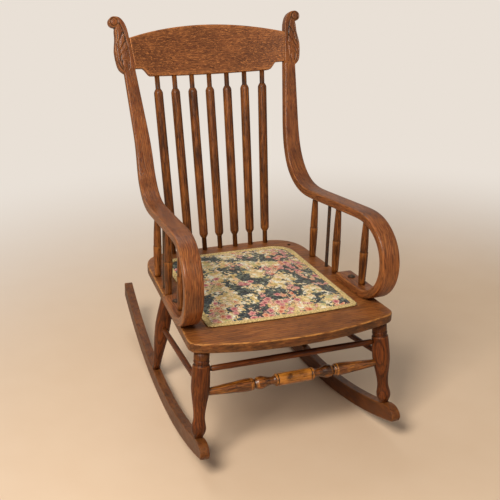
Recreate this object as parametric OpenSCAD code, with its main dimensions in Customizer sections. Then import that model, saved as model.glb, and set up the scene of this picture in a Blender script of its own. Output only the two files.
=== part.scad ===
// Bentwood-arm rocking chair in oak, with a plank seat and a padded seat panel.
// Millimetres, +Z up, the front faces -Y, X = 0 is the plane of symmetry.
// The origin lies on the floor, midway between the ends of the rockers.

/* [Seat] */
// Width of the seat at its front corners
seat_w = 530; // [470:2:600]
// Width that the sides run back to, before the rear corners are rounded
seat_back_w = 448; // [440:2:500]
// Depth of the seat from the middle of its front edge to its back edge
seat_depth = 590; // [560:2:620]
// Thickness of the seat plank
seat_th = 24; // [20:0.5:30]
// Height of the top of the seat above the floor
seat_top = 333; // [315:1:360]
// How far the front edge bows forward in the middle
seat_bow = 45; // [20:1:60]
// Rounding of the front corners
seat_front_round = 24; // [10:1:40]
// Rounding of the rear corners
seat_back_round = 92; // [50:1:110]
// Distance of the seat behind the front tips of the rockers
seat_setback = 30; // [15:1:50]

/* [Seat panel] */
// Width of the padded panel at its front
panel_w = 394; // [360:2:410]
// Width of the padded panel at its back
panel_back_w = 370; // [340:2:380]
// Depth of the padded panel
panel_depth = 434; // [380:2:440]
// Wood left in front of the panel
panel_front = 100; // [80:1:115]
// How far the front edge of the panel bows forward
panel_bow = 8; // [4:0.5:16]
// Rounding of the rear corners of the panel
panel_back_round = 62; // [30:1:75]
// Thickness of the board under the pad
board_th = 6; // [4:0.5:9]
// Width of the braid round the panel
braid_w = 14; // [8:0.5:20]
// Thickness of the braid
braid_th = 2.5; // [1.5:0.25:4]
// Height of the pad at its edge
pad_edge = 3.5; // [2:0.25:6]
// Height that the middle of the pad rises above its edge
pad_crown = 11; // [6:0.5:18]

/* [Bentwood arms] */
// Width of the bent member along its arm, loop and foot
arm_w = 47; // [42:0.5:50]
// Width of the bent member at the crest rail
post_w = 31; // [28:0.5:38]
// Thickness of the bent member
arm_th = 22; // [18:0.5:26]
// Easing of its long edges
arm_ease = 3; // [1:0.25:5]
// Distance between the middles of the two loops
arm_spread = 482; // [470:1:500]
// Height of the loop, from the seat to the top of the arm
loop_h = 223; // [205:1:240]
// Distance from the front of the seat to the front of the loop
loop_front = 53; // [45:1:70]
// Radius of the bend where the post runs into the arm
bend_r = 125; // [110:1:140]
// Rise of the arm towards the front, in degrees
arm_rise = 6; // [4:0.1:8]
// Run of the member across the chair for each millimetre that it runs back
arm_toe = 0.067; // [0.05:0.001:0.08]
// Outward run of the post for each millimetre that it rises
post_splay = 0.108; // [0.1:0.001:0.14]
// Distance from the front of the seat to the end of the foot
foot_end = 272; // [264:1:280]

/* [Back] */
// Lean of the back from the vertical, in degrees
back_lean = 20.5; // [17:0.1:23]
// Height at which the crest rail meets the posts
crest_z = 831; // [790:1:860]
// Distance from the front of the seat to the post at that height
crest_back = 668; // [655:1:680]
// Height of the crest rail at its ends
crest_end_h = 80; // [65:1:95]
// Height of the crest rail above its ends' lower corners, in the middle
crest_mid_h = 113; // [100:1:130]
// Drop of the lower edge between the shoulders
crest_drop = 20; // [16:1:26]
// Thickness of the crest rail
crest_th = 20; // [16:0.5:22]
// How far the crest rail bows backward in the middle
crest_bow = 28; // [15:1:40]
// Spacing of the back spindles at the seat
spindle_pitch = 45.5; // [42:0.5:48]
// Spacing of the back spindles at the crest rail
spindle_top_pitch = 50.4; // [44:0.2:52]
// Distance of the spindle row from the back edge of the seat
spindle_inset = 14.5; // [12.5:0.5:24]
// Diameter of the body of a back spindle
spindle_d = 24; // [20:0.5:28]
// Diameter of the necks of a back spindle
spindle_neck_d = 13.25; // [11:0.25:15]

/* [Arm supports] */
// Largest diameter of an arm spindle, at its scribed ring
prop_d = 21.5; // [18:0.5:26]
// Diameter of an arm spindle where it meets the seat
prop_foot_d = 15.5; // [13:0.5:18]
// Diameter of an arm spindle where it meets the arm
prop_head_d = 14; // [12:0.5:16]
// Distance from the front of the seat to the front arm spindle
prop_front = 180; // [172:1:190]
// Distance from the front of the seat to the middle arm spindle
prop_mid = 314; // [300:1:326]
// Distance from the front of the seat to the rear arm spindle
prop_rear = 438; // [420:1:448]
// Distance from the front of the seat to the steel rod
rod_back = 360; // [350:1:374]
// Diameter of the steel rod
rod_d = 9; // [7:0.5:10]
// Distance from the front of the seat to the foot bolt
bolt_back = 230; // [220:1:244]
// Diameter of the foot bolt
bolt_d = 6; // [5:0.5:8]

/* [Legs] */
// Largest diameter of a front leg
leg_d = 44; // [38:0.5:50]
// Largest diameter of a rear leg
rear_leg_d = 41; // [34:0.5:44]
// Distance between the front legs at the seat
leg_top_span = 458; // [440:1:465]
// Distance from the front of the seat to a front leg, at the seat
leg_top_back = 60; // [55:1:70]
// Distance from the front of the seat to a front leg, at the rocker
leg_foot_back = 32; // [26:1:45]
// Distance between the rear legs at the seat
rear_top_span = 392; // [370:1:410]
// Distance from the front of the seat to a rear leg, at the seat
rear_top_back = 426; // [400:1:450]
// Distance from the front of the seat to a rear leg, at the rocker
rear_foot_back = 466; // [450:1:500]

/* [Stretchers] */
// Height of the plain front stretcher
upper_rail_z = 258; // [245:1:268]
// Height of the turned front stretcher
lower_rail_z = 202; // [190:1:215]
// Height of a side stretcher at the front leg
side_rail_front_z = 220; // [212:1:230]
// Height of a side stretcher at the rear leg
side_rail_rear_z = 178; // [165:1:190]
// Height of the rear stretcher
rear_rail_z = 205; // [198:1:225]
// Diameter of the plain front stretcher
upper_rail_d = 16; // [13:0.5:18]
// Diameter of the middle of the turned stretcher
lower_rail_d = 29; // [24:0.5:32]
// Diameter of the side and rear stretchers
side_rail_d = 15; // [13:0.5:18]

/* [Rockers] */
// Length of a rocker, measured along the floor
rocker_len = 869; // [820:1:920]
// Height of a rocker
rocker_h = 41; // [36:0.5:46]
// Width of a rocker
rocker_w = 23; // [20:0.5:28]
// Radius of the curve that rolls on the floor
rocker_r = 1150; // [1050:5:1300]
// Distance from the middle of a rocker forward to its lowest point, under the chair's balance
balance_ahead = 37; // [32:1:46]
// Distance between the middles of the rockers at their half length
rocker_span = 451; // [440:1:462]
// Run of a rocker towards the other for each millimetre that it runs back
rocker_toe = 0.055; // [0.04:0.001:0.065]
// Length of the sloping nose of a rocker
nose_len = 44; // [30:1:48]

/* [Joints] */
// Clearance of a glued joint on each side
glue_gap = 0.15; // [0.1:0.05:0.3]
// Depth of the spindle holes
spindle_hole = 17; // [12:0.5:18]
// Depth of the arm spindle holes
prop_hole = 12; // [9:0.5:14]
// Diameter of the tenons on arm spindles and stretchers
tenon_d = 11; // [9:0.25:12]
// Diameter of the tenon at the top of a leg
leg_tenon_d = 24; // [20:0.5:28]
// Depth of the leg holes in the seat
leg_hole = 17; // [14:0.5:18]
// Diameter of the tenon at the bottom of a leg
foot_tenon_d = 13; // [11:0.5:15]
// Depth of the leg holes in the rockers
foot_hole = 28; // [20:0.5:32]
// Diameter of the pins through rockers and tenons
pin_d = 5; // [4:0.25:6]
// Diameter of the dowels between crest rail and posts
dowel_d = 9; // [7:0.5:10]
// Length of those dowels
dowel_len = 50; // [40:1:56]

/* [Hidden] */
$fn = 48;

oak = "#6f4224";
dark_oak = "#5a3119";
golden_oak = "#9a5f27";
steel = "#3a3735";
cloth = "#6f7352";
braid_gold = "#b59a58";

// Overrun of a cut past the face it starts from
cut = 1;
// Turn of a leaning bore about its own axis, so that its seam is clear of the lean
bore_turn = 40;
// Flat gap that keeps soft and loose pieces off their neighbours
rest_gap = 0.3;
// Turning from one station of a profile to the next: straight, a wave that lies
// flat at both ends, a rise that ends flat, and a fall that starts flat
straight = 0;
wave = 1;
rise = 2;
fall = 3;
turn_steps = 5;

front_y = seat_setback - rocker_len / 2;
seat_under = seat_top - seat_th;

// Shared shapes and placing

// Points of a quadratic curve from p to q, drawn towards c
function bend_pts(p, c, q, n) = [for (i = [0 : n]) let (t = i / n)
    (1 - t) * (1 - t) * p + 2 * t * (1 - t) * c + t * t * q];

// Right half of a seat outline, from the middle of the front to the middle of the back
function half_outline(fw, bw, depth, bow, fr, br) =
    let (r = (fw * fw / 4 + bow * bow) / (2 * bow),
         corner = [fw / 2, bow], heel = [bw / 2, depth],
         side = (heel - corner) / norm(heel - corner),
         x_end = fw / 2 - fr)
    concat([for (i = [0 : 8]) let (x = x_end * i / 8) [x, r - sqrt(r * r - x * x)]],
        bend_pts([x_end, r - sqrt(r * r - x_end * x_end)], corner, corner + side * fr, 5),
        bend_pts(heel - side * br, heel, heel - [br, 0], 8));

function outline(fw, bw, depth, bow, fr, br) =
    let (half = half_outline(fw, bw, depth, bow, fr, br), n = len(half))
    concat(half, [for (i = [n - 1 : -1 : 1]) [-half[i][0], half[i][1]]]);

// Radius between two stations at the part t of the way
function eased(r0, r1, t, kind) =
    kind == wave ? r0 + (r1 - r0) * (1 - cos(180 * t)) / 2 :
    kind == rise ? r0 + (r1 - r0) * sin(90 * t) :
    kind == fall ? r0 + (r1 - r0) * (1 - cos(90 * t)) :
    r0 + (r1 - r0) * t;

// Outline of a turned piece of length h from its stations [share of h, radius, kind]
function turned_pts(stations, h) = concat([[0, 0]], [[stations[0][1], 0]],
    [for (i = [1 : len(stations) - 1])
        let (a = stations[i - 1], b = stations[i], n = b[2] == straight ? 1 : turn_steps)
        for (k = [1 : n]) [eased(a[1], b[1], k / n, b[2]), h * (a[0] + (b[0] - a[0]) * k / n)]],
    [[0, h]]);

module turned(stations, h) {
    rotate_extrude() polygon(turned_pts(stations, h));
}

// Puts children that stand on Z at p, pointing to q
module from_to(p, q) {
    v = q - p;
    translate(p) rotate([0, acos(v[2] / norm(v)), atan2(v[1], v[0])]) children();
}

// A hole of diameter d along the line from p, starting at a and ending at b from p
module hole(p, q, d, a, b) {
    from_to(p, q) translate([0, 0, a]) rotate([0, 0, bore_turn]) cylinder(d = d + 2 * glue_gap, h = b - a);
}

module both_sides() {
    children();
    mirror([1, 0, 0]) children();
}

// Lines that the pieces share

function at_depth(d) = front_y + d;

// Legs, with s = -1 on the left and 1 on the right
function rocker_x(y) = rocker_span / 2 - rocker_toe * y;
function rocker_floor(y) = rocker_r - sqrt(rocker_r * rocker_r - pow(y + balance_ahead, 2));
function rocker_top(y) = let (r = rocker_r - rocker_h)
    rocker_r - sqrt(r * r - pow(y + balance_ahead, 2));
function leg_head(s) = [s * leg_top_span / 2, at_depth(leg_top_back), seat_under];
function leg_foot(s) = let (y = at_depth(leg_foot_back)) [s * rocker_x(y), y, rocker_top(y)];
function rear_head(s) = [s * rear_top_span / 2, at_depth(rear_top_back), seat_under];
function rear_foot(s) = let (y = at_depth(rear_foot_back)) [s * rocker_x(y), y, rocker_top(y)];
function on_leg(head, foot, z) = foot + (head - foot) * (z - foot[2]) / (head[2] - foot[2]);
function front_at(s, z) = on_leg(leg_head(s), leg_foot(s), z);
function rear_at(s, z) = on_leg(rear_head(s), rear_foot(s), z);

// Bent arm: the side view of its middle line, as [y, z, and the direction of its
// outer face in y and z], with y measured back from the front of the seat
loop_r = loop_h / 2;
loop_mid_r = loop_r - arm_th / 2;
loop_y = loop_front + loop_r;
loop_z = seat_top + loop_r;
arm_start = [loop_y + loop_mid_r * sin(arm_rise), loop_z + loop_mid_r * cos(arm_rise)];
arm_dir = [cos(arm_rise), -sin(arm_rise)];
post_dir = [sin(back_lean), cos(back_lean)];
crest_yz = [crest_back, crest_z];
function cross2(a, b) = a[0] * b[1] - a[1] * b[0];
arm_run = cross2(crest_yz - arm_start, post_dir) / cross2(arm_dir, post_dir);
knee = arm_start + arm_run * arm_dir;
bend_run = bend_r * tan((90 - back_lean + arm_rise) / 2);
bend_centre = knee - bend_run * arm_dir + bend_r * [sin(arm_rise), cos(arm_rise)];
bend_top = knee + bend_run * post_dir;
// Height over which the splay of the post sets in
splay_blend = 80;
// Length of the post above the crest rail's lower corners, inside the ear
post_above = 92;
function rise_above(h) = h <= 0 ? 0 : h < splay_blend ? h * h / (2 * splay_blend) : h - splay_blend / 2;
function arm_centre_x(y, z) =
    arm_spread / 2 - arm_toe * (y - loop_y) + post_splay * rise_above(z - bend_top[1]);
// Width of the member: full up to the top of the loop, then drawn in evenly to the crest rail
function arm_width(z) = let (t = (z - loop_z - loop_r) / (crest_z - loop_z - loop_r))
    arm_w + (post_w - arm_w) * max(0, min(1, t));
function arm_mid_z(y) = arm_start[1] - (y - arm_start[0]) * tan(arm_rise);
function arm_under(y) = arm_mid_z(y) - arm_th / 2 / cos(arm_rise);

post_top = crest_yz + post_above * post_dir;
arm_path = concat(
    [for (i = [0 : 9]) let (p = post_top + (bend_top - post_top) * i / 10)
        [p[0], p[1], -cos(back_lean), sin(back_lean)]],
    [for (i = [0 : 12]) let (a = -back_lean - (90 - back_lean + arm_rise) * i / 12)
        [bend_centre[0] + bend_r * cos(a), bend_centre[1] + bend_r * sin(a), -cos(a), -sin(a)]],
    [for (i = [0 : 28]) let (a = 90 - arm_rise + (180 + arm_rise) * i / 28)
        [loop_y + loop_mid_r * cos(a), loop_z + loop_mid_r * sin(a), cos(a), sin(a)]],
    [[foot_end, seat_top + arm_th / 2, 0, -1]]);

// Back spindles, numbered -3 to 3 from the left
crest_half = arm_centre_x(crest_back, crest_z) - post_w / 2;
crest_arc_r = (crest_half * crest_half + crest_bow * crest_bow) / (2 * crest_bow);
function crest_point(x, v) = let (w = crest_arc_r - crest_bow - sqrt(crest_arc_r * crest_arc_r - x * x))
    [x, at_depth(crest_back) + v * sin(back_lean) - w * cos(back_lean),
        crest_z + v * cos(back_lean) + w * sin(back_lean)];
function spindle_foot(i) = [i * spindle_pitch, at_depth(seat_depth - spindle_inset), seat_top];
function spindle_head(i) = crest_point(i * spindle_top_pitch, -crest_drop);

// Section of the member: across the chair, and out from its middle line
function section(width) = let (w = width / 2, t = arm_th / 2, e = arm_ease) [[w - e, t], [w, t - e],
    [w, e - t], [w - e, -t], [e - w, -t], [-w, e - t], [-w, t - e], [e - w, t]];

module bent_member() {
    n = len(section(arm_w));
    m = len(arm_path);
    pts = [for (p = arm_path) let (x = arm_centre_x(p[0], p[1])) for (s = section(arm_width(p[1])))
        [x + s[0], at_depth(p[0]) + s[1] * p[2], p[1] + s[1] * p[3]]];
    sides = [for (i = [0 : m - 2]) for (k = [0 : n - 1]) let (a = i * n + k, b = i * n + (k + 1) % n)
        each [[a, b, b + n], [a, b + n, a + n]]];
    top_cap = [for (k = [1 : n - 2]) [0, k + 1, k]];
    end_cap = [for (k = [1 : n - 2]) [(m - 1) * n, (m - 1) * n + k, (m - 1) * n + k + 1]];
    polyhedron(points = pts, faces = concat(sides, top_cap, end_cap));
}

// Carved ear at the top of the post, drawn from the post's inner edge at the crest
// rail's lower corner: out across the chair, and up along the post
ear_h = 127;
volute_r = 14;
ear_swell = 14;
// How far the ear's carved face stands proud of the post
ear_proud = 1;
ear_inner_shares = [[0, 0.61], [0.015, 0.78], [0.08, 0.89], [0.22, 0.99], [0.45, 1.065]];
ear_outer_shares = [[0.15, 0.82], [0.3, 0.68], [0.72, 0.51], [1.02, 0.36], [1.02, 0.14], [0.7, 0.01]];
// Share of the ear's height by which it dies into the post below the crest rail
ear_foot_share = 0.07;
volute_at = [post_w, ear_h];

function ear_pts() = let (neck = [post_w, volute_at[1] - volute_r])
    concat([[post_w, -ear_foot_share * ear_h], [arm_ease, -ear_foot_share * ear_h], [0, 0]],
    [for (p = ear_inner_shares) [p[0] * post_w, p[1] * ear_h]],
    [volute_at],
    [neck],
    [for (p = ear_outer_shares) [post_w + p[0] * ear_swell, p[1] * ear_h]]);

module in_post_plane() {
    p = [crest_half, at_depth(crest_back), crest_z];
    translate(p) rotate([90 - back_lean, 0, 0]) rotate([0, 0, -atan(post_splay)]) children();
}

module ear() {
    t = arm_th + 2 * ear_proud;
    in_post_plane() translate([0, 0, -t / 2]) {
        linear_extrude(t) polygon(ear_pts());
        linear_extrude(t) translate(volute_at) circle(volute_r);
    }
}

// Places along the arm
function prop_x(d) = arm_centre_x(d, 0);
function prop_foot_pt(d, z) = [prop_x(d), at_depth(d), z];
foot_top = seat_top + arm_th;

// Upright hole of diameter d at the depth back, from z upward
module upright_hole(back, d, z, h) {
    translate(prop_foot_pt(back, z)) cylinder(d = d + 2 * glue_gap, h = h);
}

module arm_holes() {
    upright_hole(prop_front, tenon_d, foot_top - prop_hole, prop_hole + cut);
    for (d = [prop_front, prop_mid, prop_rear])
        upright_hole(d, tenon_d, arm_under(d) - cut, prop_hole + cut);
    upright_hole(rod_back, rod_d, arm_under(rod_back) - cut, prop_hole + cut);
    upright_hole(bolt_back, bolt_d, seat_top - cut, arm_th + 2 * cut);
    crest_dowel_holes();
}

module bent_arm() {
    color(oak) difference() {
        union() {
            bent_member();
            ear();
        }
        arm_holes();
    }
}

module left_bent_arm() { mirror([1, 0, 0]) bent_arm(); }
module right_bent_arm() { bent_arm(); }

// Crest rail

// Heights of the two dowels at each end, as shares of the rail's end
dowel_shares = [0.25, 0.75];
// Shoulder of the lower edge: flat lip, then an ogee down to the straight edge
lip = 20;
ogee = 24;

module crest_frame() {
    translate([0, at_depth(crest_back), crest_z]) rotate([90 - back_lean, 0, 0]) children();
}

function crest_side(v) = crest_half + v * post_splay - glue_gap;

module crest_outline() {
    top_half = crest_side(crest_end_h);
    gain = crest_mid_h - crest_end_h;
    r = (top_half * top_half + gain * gain) / (2 * gain);
    x1 = crest_half - glue_gap - lip;
    half = concat(
        [for (i = [0 : 12]) let (x = top_half * i / 12) [x, crest_mid_h - r + sqrt(r * r - x * x)]],
        [[crest_side(0), 0]],
        [for (i = [0 : 6]) [x1 - ogee * i / 6, eased(0, -crest_drop, i / 6, wave)]]);
    n = len(half);
    polygon(concat(half, [for (i = [n - 1 : -1 : 1]) [-half[i][0], half[i][1]]]));
}

module crest_dowel_holes() {
    both_sides() for (s = dowel_shares) crest_dowel(s, dowel_d + 2 * glue_gap, dowel_len + 2 * glue_gap);
}

// One dowel, centred on the joint between rail and post
module crest_dowel(share, d, l) {
    in_post_plane() translate([-l / 2, share * crest_end_h, 0]) rotate([0, 90, 0]) cylinder(d = d, h = l);
}

module crest_rail() {
    reach = crest_mid_h + crest_drop;
    depth = crest_bow + crest_th;
    color(oak) difference() {
        crest_frame() intersection() {
            translate([0, 0, -depth]) linear_extrude(2 * depth) crest_outline();
            translate([0, -reach, crest_arc_r - crest_bow]) rotate([-90, 0, 0]) difference() {
                cylinder(r = crest_arc_r + crest_th / 2, h = 2 * reach, $fn = 180);
                translate([0, 0, -cut])
                    cylinder(r = crest_arc_r - crest_th / 2, h = 2 * (reach + cut), $fn = 180);
            }
        }
        for (i = [-3 : 3]) let (l = norm(spindle_head(i) - spindle_foot(i)))
            hole(spindle_foot(i), spindle_head(i), spindle_neck_d, l - spindle_neck_d, l + spindle_hole);
        crest_dowel_holes();
    }
}

module crest_dowels() {
    color(golden_oak) both_sides() for (s = dowel_shares) crest_dowel(s, dowel_d, dowel_len);
}

// Seat

module panel_shape(grow) {
    translate([0, at_depth(panel_front) - grow])
        polygon(outline(panel_w + 2 * grow, panel_back_w + 2 * grow, panel_depth + 2 * grow, panel_bow,
            braid_w / 2, panel_back_round));
}

// Screws that hold the panel board from below, as shares of the panel's width and depth
panel_screw_shares = [[-0.38, 0.12], [0.38, 0.12], [-0.36, 0.82], [0.36, 0.82]];
screw_d = 4;
screw_head_d = 8;
screw_head_h = 3;
function panel_screw_pt(s) = [s[0] * panel_w, at_depth(panel_front + s[1] * panel_depth), seat_under];

// Wooden plugs in the rear corners of the seat
plug_d = 10;
plug_h = 8;
plug_x = 194;
plug_inset = 54;
function plug_pt(s) = [s * plug_x, at_depth(seat_depth - plug_inset), seat_top - plug_h];

module seat_plank() {
    color(oak) difference() {
        difference() {
            translate([0, front_y, seat_under]) linear_extrude(seat_th)
                polygon(outline(seat_w, seat_back_w, seat_depth, seat_bow, seat_front_round,
                    seat_back_round));
            for (i = [-3 : 3])
                hole(spindle_foot(i), spindle_head(i), spindle_neck_d, -spindle_hole, spindle_neck_d);
        }
        translate([0, 0, seat_top - board_th]) linear_extrude(board_th + cut) panel_shape(glue_gap);
        for (s = [-1, 1]) {
            hole(leg_head(s), leg_foot(s), leg_tenon_d, -leg_hole, leg_tenon_d / 2);
            hole(rear_head(s), rear_foot(s), leg_tenon_d, -leg_hole, leg_tenon_d / 2);
            translate(plug_pt(s)) cylinder(d = plug_d + 2 * glue_gap, h = plug_h + cut);
        }
        both_sides() {
            for (d = [prop_mid, prop_rear]) upright_hole(d, tenon_d, seat_top - prop_hole, prop_hole + cut);
            upright_hole(rod_back, rod_d, seat_under - cut, seat_th + 2 * cut);
            upright_hole(bolt_back, bolt_d, seat_under - cut, seat_th + 2 * cut);
        }
        for (s = panel_screw_shares) translate(panel_screw_pt(s)) {
            translate([0, 0, -cut]) cylinder(d = screw_d + 2 * glue_gap, h = seat_th);
            translate([0, 0, -cut]) cylinder(d = screw_head_d + 2 * glue_gap, h = screw_head_h + cut);
        }
    }
}

module seat_plugs() {
    color(dark_oak) for (s = [-1, 1]) translate(plug_pt(s)) cylinder(d = plug_d, h = plug_h);
}

board_screw_depth = 4;

module panel_board() {
    color(golden_oak) difference() {
        translate([0, 0, seat_top - board_th]) linear_extrude(board_th) panel_shape(0);
        for (s = panel_screw_shares) translate(panel_screw_pt(s))
            cylinder(d = screw_d, h = seat_th - board_th + board_screw_depth);
    }
}

module panel_screws() {
    color(steel) for (s = panel_screw_shares) translate(panel_screw_pt(s)) {
        cylinder(d = screw_head_d, h = screw_head_h);
        cylinder(d = screw_d, h = seat_th - board_th + board_screw_depth);
    }
}

module panel_braid() {
    color(braid_gold) translate([0, 0, seat_top]) linear_extrude(braid_th) difference() {
        panel_shape(glue_gap + braid_th);
        panel_shape(-braid_w);
    }
}

// Padded panel: rings of the panel's outline, drawn in over a crown
pad_ring_shares = [1, 0.985, 0.95, 0.88, 0.75, 0.55, 0.3];

module seat_pad() {
    inset = braid_w + rest_gap;
    edge = outline(panel_w - 2 * inset, panel_back_w - 2 * inset, panel_depth - 2 * inset, panel_bow,
        braid_w / 2, panel_back_round);
    n = len(edge);
    m = len(pad_ring_shares);
    mid = [0, (panel_depth - 2 * inset) / 2];
    base = seat_top + rest_gap;
    pts = concat([for (p = edge) [p[0], p[1], base]],
        [for (s = pad_ring_shares) for (p = edge) let (q = mid + s * (p - mid))
            [q[0], q[1], base + pad_edge + pad_crown * (1 - pow(s, 4))]],
        [[mid[0], mid[1], base], [mid[0], mid[1], base + pad_edge + pad_crown]]);
    sides = [for (i = [0 : m - 1]) for (k = [0 : n - 1]) let (a = i * n + k, b = i * n + (k + 1) % n)
        each [[a, b + n, b], [a, a + n, b + n]]];
    low = [for (k = [0 : n - 1]) [(m + 1) * n, k, (k + 1) % n]];
    high = [for (k = [0 : n - 1]) [(m + 1) * n + 1, m * n + (k + 1) % n, m * n + k]];
    color(cloth) translate([0, at_depth(panel_front + inset), 0])
        polyhedron(points = pts, faces = concat(sides, low, high));
}

// Back spindles

// Length of the neck that shows at each end, and of the shoulder that follows it
neck_show = 34;
shoulder = 12;

module back_spindle(i) {
    p = spindle_foot(i);
    q = spindle_head(i);
    l = norm(q - p);
    h = l + 2 * (spindle_hole - glue_gap);
    a = spindle_hole + neck_show;
    b = a + shoulder;
    neck = spindle_neck_d / 2;
    body = spindle_d / 2;
    color(oak) from_to(p, q) translate([0, 0, glue_gap - spindle_hole]) turned([[0, neck, straight],
        [a / h, neck, straight], [b / h, body, rise], [1 - b / h, body, straight], [1 - a / h, neck, fall],
        [1, neck, straight]], h);
}

module back_spindle_1() { back_spindle(-3); }
module back_spindle_2() { back_spindle(-2); }
module back_spindle_3() { back_spindle(-1); }
module back_spindle_4() { back_spindle(0); }
module back_spindle_5() { back_spindle(1); }
module back_spindle_6() { back_spindle(2); }
module back_spindle_7() { back_spindle(3); }

// Arm spindles

// Depth and half width of the scribed ring
scribe = 0.6;
scribe_w = 1.2;
// Place of the ring, as a share of the height
ring_share = 0.5;

module arm_spindle(d, z) {
    l = arm_under(d) - z;
    r = prop_d / 2;
    w = scribe_w / l;
    color(oak) translate(prop_foot_pt(d, z)) {
        turned([[0, prop_foot_d / 2, straight], [ring_share - w, r, rise], [ring_share, r - scribe, straight],
            [ring_share + w, r, straight], [1, prop_head_d / 2, fall]], l);
        translate([0, 0, glue_gap - prop_hole]) cylinder(d = tenon_d, h = l + 2 * (prop_hole - glue_gap));
    }
}

module right_front_arm_spindle() { arm_spindle(prop_front, foot_top); }
module right_mid_arm_spindle() { arm_spindle(prop_mid, seat_top); }
module right_rear_arm_spindle() { arm_spindle(prop_rear, seat_top); }
module left_front_arm_spindle() { mirror([1, 0, 0]) right_front_arm_spindle(); }
module left_mid_arm_spindle() { mirror([1, 0, 0]) right_mid_arm_spindle(); }
module left_rear_arm_spindle() { mirror([1, 0, 0]) right_rear_arm_spindle(); }

// Steel rods, bolts and nuts

washer_d = 20;
washer_th = 1.5;
nut_across = 15;
nut_h = 7;
small_nut_across = 11.5;
small_nut_h = 5;
// Length of thread that shows below a nut
thread_show = 3;
bolt_head_d = 15;
bolt_head_h = 3.5;
// Stations of the domed head: share of its height, share of its radius, and the kind of turning
bolt_head_shares = [[0, 1, straight], [0.3, 1, straight], [1, 0.4, fall]];

module right_arm_rod() {
    low = seat_under - washer_th - nut_h - thread_show;
    color(steel) translate(prop_foot_pt(rod_back, low))
        cylinder(d = rod_d, h = arm_under(rod_back) + prop_hole - glue_gap - low);
}
module left_arm_rod() { mirror([1, 0, 0]) right_arm_rod(); }

// Washer and nut drawn up under the seat, as one piece with a bore for a bolt of diameter d
module nut_and_washer(p, d, across, h) {
    translate(p) difference() {
        union() {
            translate([0, 0, -washer_th]) cylinder(d = washer_d, h = washer_th);
            translate([0, 0, -washer_th - h]) cylinder(d = across / cos(30), h = h, $fn = 6);
        }
        translate([0, 0, -washer_th - h - cut]) cylinder(d = d + 2 * glue_gap, h = h + washer_th + 2 * cut);
    }
}

module rod_nuts() {
    color(steel) both_sides() nut_and_washer(prop_foot_pt(rod_back, seat_under), rod_d, nut_across, nut_h);
}

module foot_bolts() {
    low = seat_under - washer_th - small_nut_h - thread_show;
    color(steel) both_sides() {
        translate(prop_foot_pt(bolt_back, low)) cylinder(d = bolt_d, h = foot_top - low);
        translate(prop_foot_pt(bolt_back, foot_top)) cylinder(d = washer_d, h = washer_th);
        translate(prop_foot_pt(bolt_back, foot_top + washer_th))
            turned(sized(bolt_head_shares, bolt_head_d / 2), bolt_head_h);
    }
}

module foot_bolt_nuts() {
    color(steel) both_sides()
        nut_and_washer(prop_foot_pt(bolt_back, seat_under), bolt_d, small_nut_across, small_nut_h);
}

// Legs

// Stations of a front leg, from the rocker up to the seat: share of the height,
// share of the largest radius, and the kind of turning
front_leg_shares = [[0, 0.47, straight], [0.02, 0.48, straight], [0.1, 0.74, rise], [0.24, 0.61, wave],
    [0.6, 1, wave], [0.8, 0.94, fall], [0.83, 0.84, rise], [0.85, 0.88, rise], [0.868, 0.82, fall],
    [0.885, 0.86, rise], [1, 0.84, straight]];
rear_leg_shares = [[0, 0.52, straight], [0.55, 1, wave], [0.86, 0.8, wave], [1, 0.76, straight]];

function sized(shares, r) = [for (s = shares) [s[0], s[1] * r, s[2]]];

// Distance that a stretcher's tenon stops short of a leg's middle line
tenon_stop = 7;

module leg(head, foot, shares, d) {
    l = norm(head - foot);
    from_to(foot, head) {
        turned(sized(shares, d / 2), l);
        translate([0, 0, glue_gap - foot_hole]) cylinder(d = foot_tenon_d, h = foot_hole);
        translate([0, 0, l - cut]) cylinder(d = leg_tenon_d, h = leg_hole - glue_gap + cut);
    }
}

// Hole in the leg at p for a stretcher that runs to q
module rail_hole(p, q, d) { hole(p, q, d, tenon_stop, leg_d); }

module front_leg(s) {
    color(dark_oak) difference() {
        leg(leg_head(s), leg_foot(s), front_leg_shares, leg_d);
        rail_hole(front_at(s, upper_rail_z), front_at(-s, upper_rail_z), tenon_d);
        rail_hole(front_at(s, lower_rail_z), front_at(-s, lower_rail_z), tenon_d);
        rail_hole(front_at(s, side_rail_front_z), rear_at(s, side_rail_rear_z), tenon_d);
        rocker_pin(leg_foot(s), s, pin_d + 2 * glue_gap, rocker_w);
    }
}

module rear_leg(s) {
    color(dark_oak) difference() {
        leg(rear_head(s), rear_foot(s), rear_leg_shares, rear_leg_d);
        rail_hole(rear_at(s, rear_rail_z), rear_at(-s, rear_rail_z), tenon_d);
        rail_hole(rear_at(s, side_rail_rear_z), front_at(s, side_rail_front_z), tenon_d);
        rocker_pin(rear_foot(s), s, pin_d + 2 * glue_gap, rocker_w);
    }
}

module left_front_leg() { front_leg(-1); }
module right_front_leg() { front_leg(1); }
module left_rear_leg() { rear_leg(-1); }
module right_rear_leg() { rear_leg(1); }

// Stretchers

// A rail between two places on the legs' middle lines, of the profile shares, with tenons
module rail(p, q, shares, d) {
    l = norm(q - p);
    from_to(p, q) {
        intersection() {
            turned(sized(shares, d / 2), l);
            translate([0, 0, tenon_stop + glue_gap]) cylinder(r = d, h = l - 2 * (tenon_stop + glue_gap));
        }
    }
}

// Half of the turned stretcher from its middle outward: share of the half length,
// share of the largest radius, and the kind of turning
turned_half_shares = [[0, 1, straight], [0.178, 1, straight], [0.184, 0.93, straight], [0.192, 1, rise],
    [0.203, 0.98, straight], [0.217, 0.71, fall], [0.255, 0.52, rise], [0.275, 0.56, wave],
    [0.33, 0.9, straight], [0.365, 1.04, rise], [0.4, 0.97, fall], [0.424, 0.76, straight],
    [0.437, 0.72, straight], [0.446, 0.9, rise], [0.475, 1, rise], [0.5, 1, straight],
    [0.895, 0.48, straight]];

function with_kind(s, k) = [s[0], s[1], k];
function reversed_kind(k) = k == rise ? fall : k == fall ? rise : k;
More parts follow.
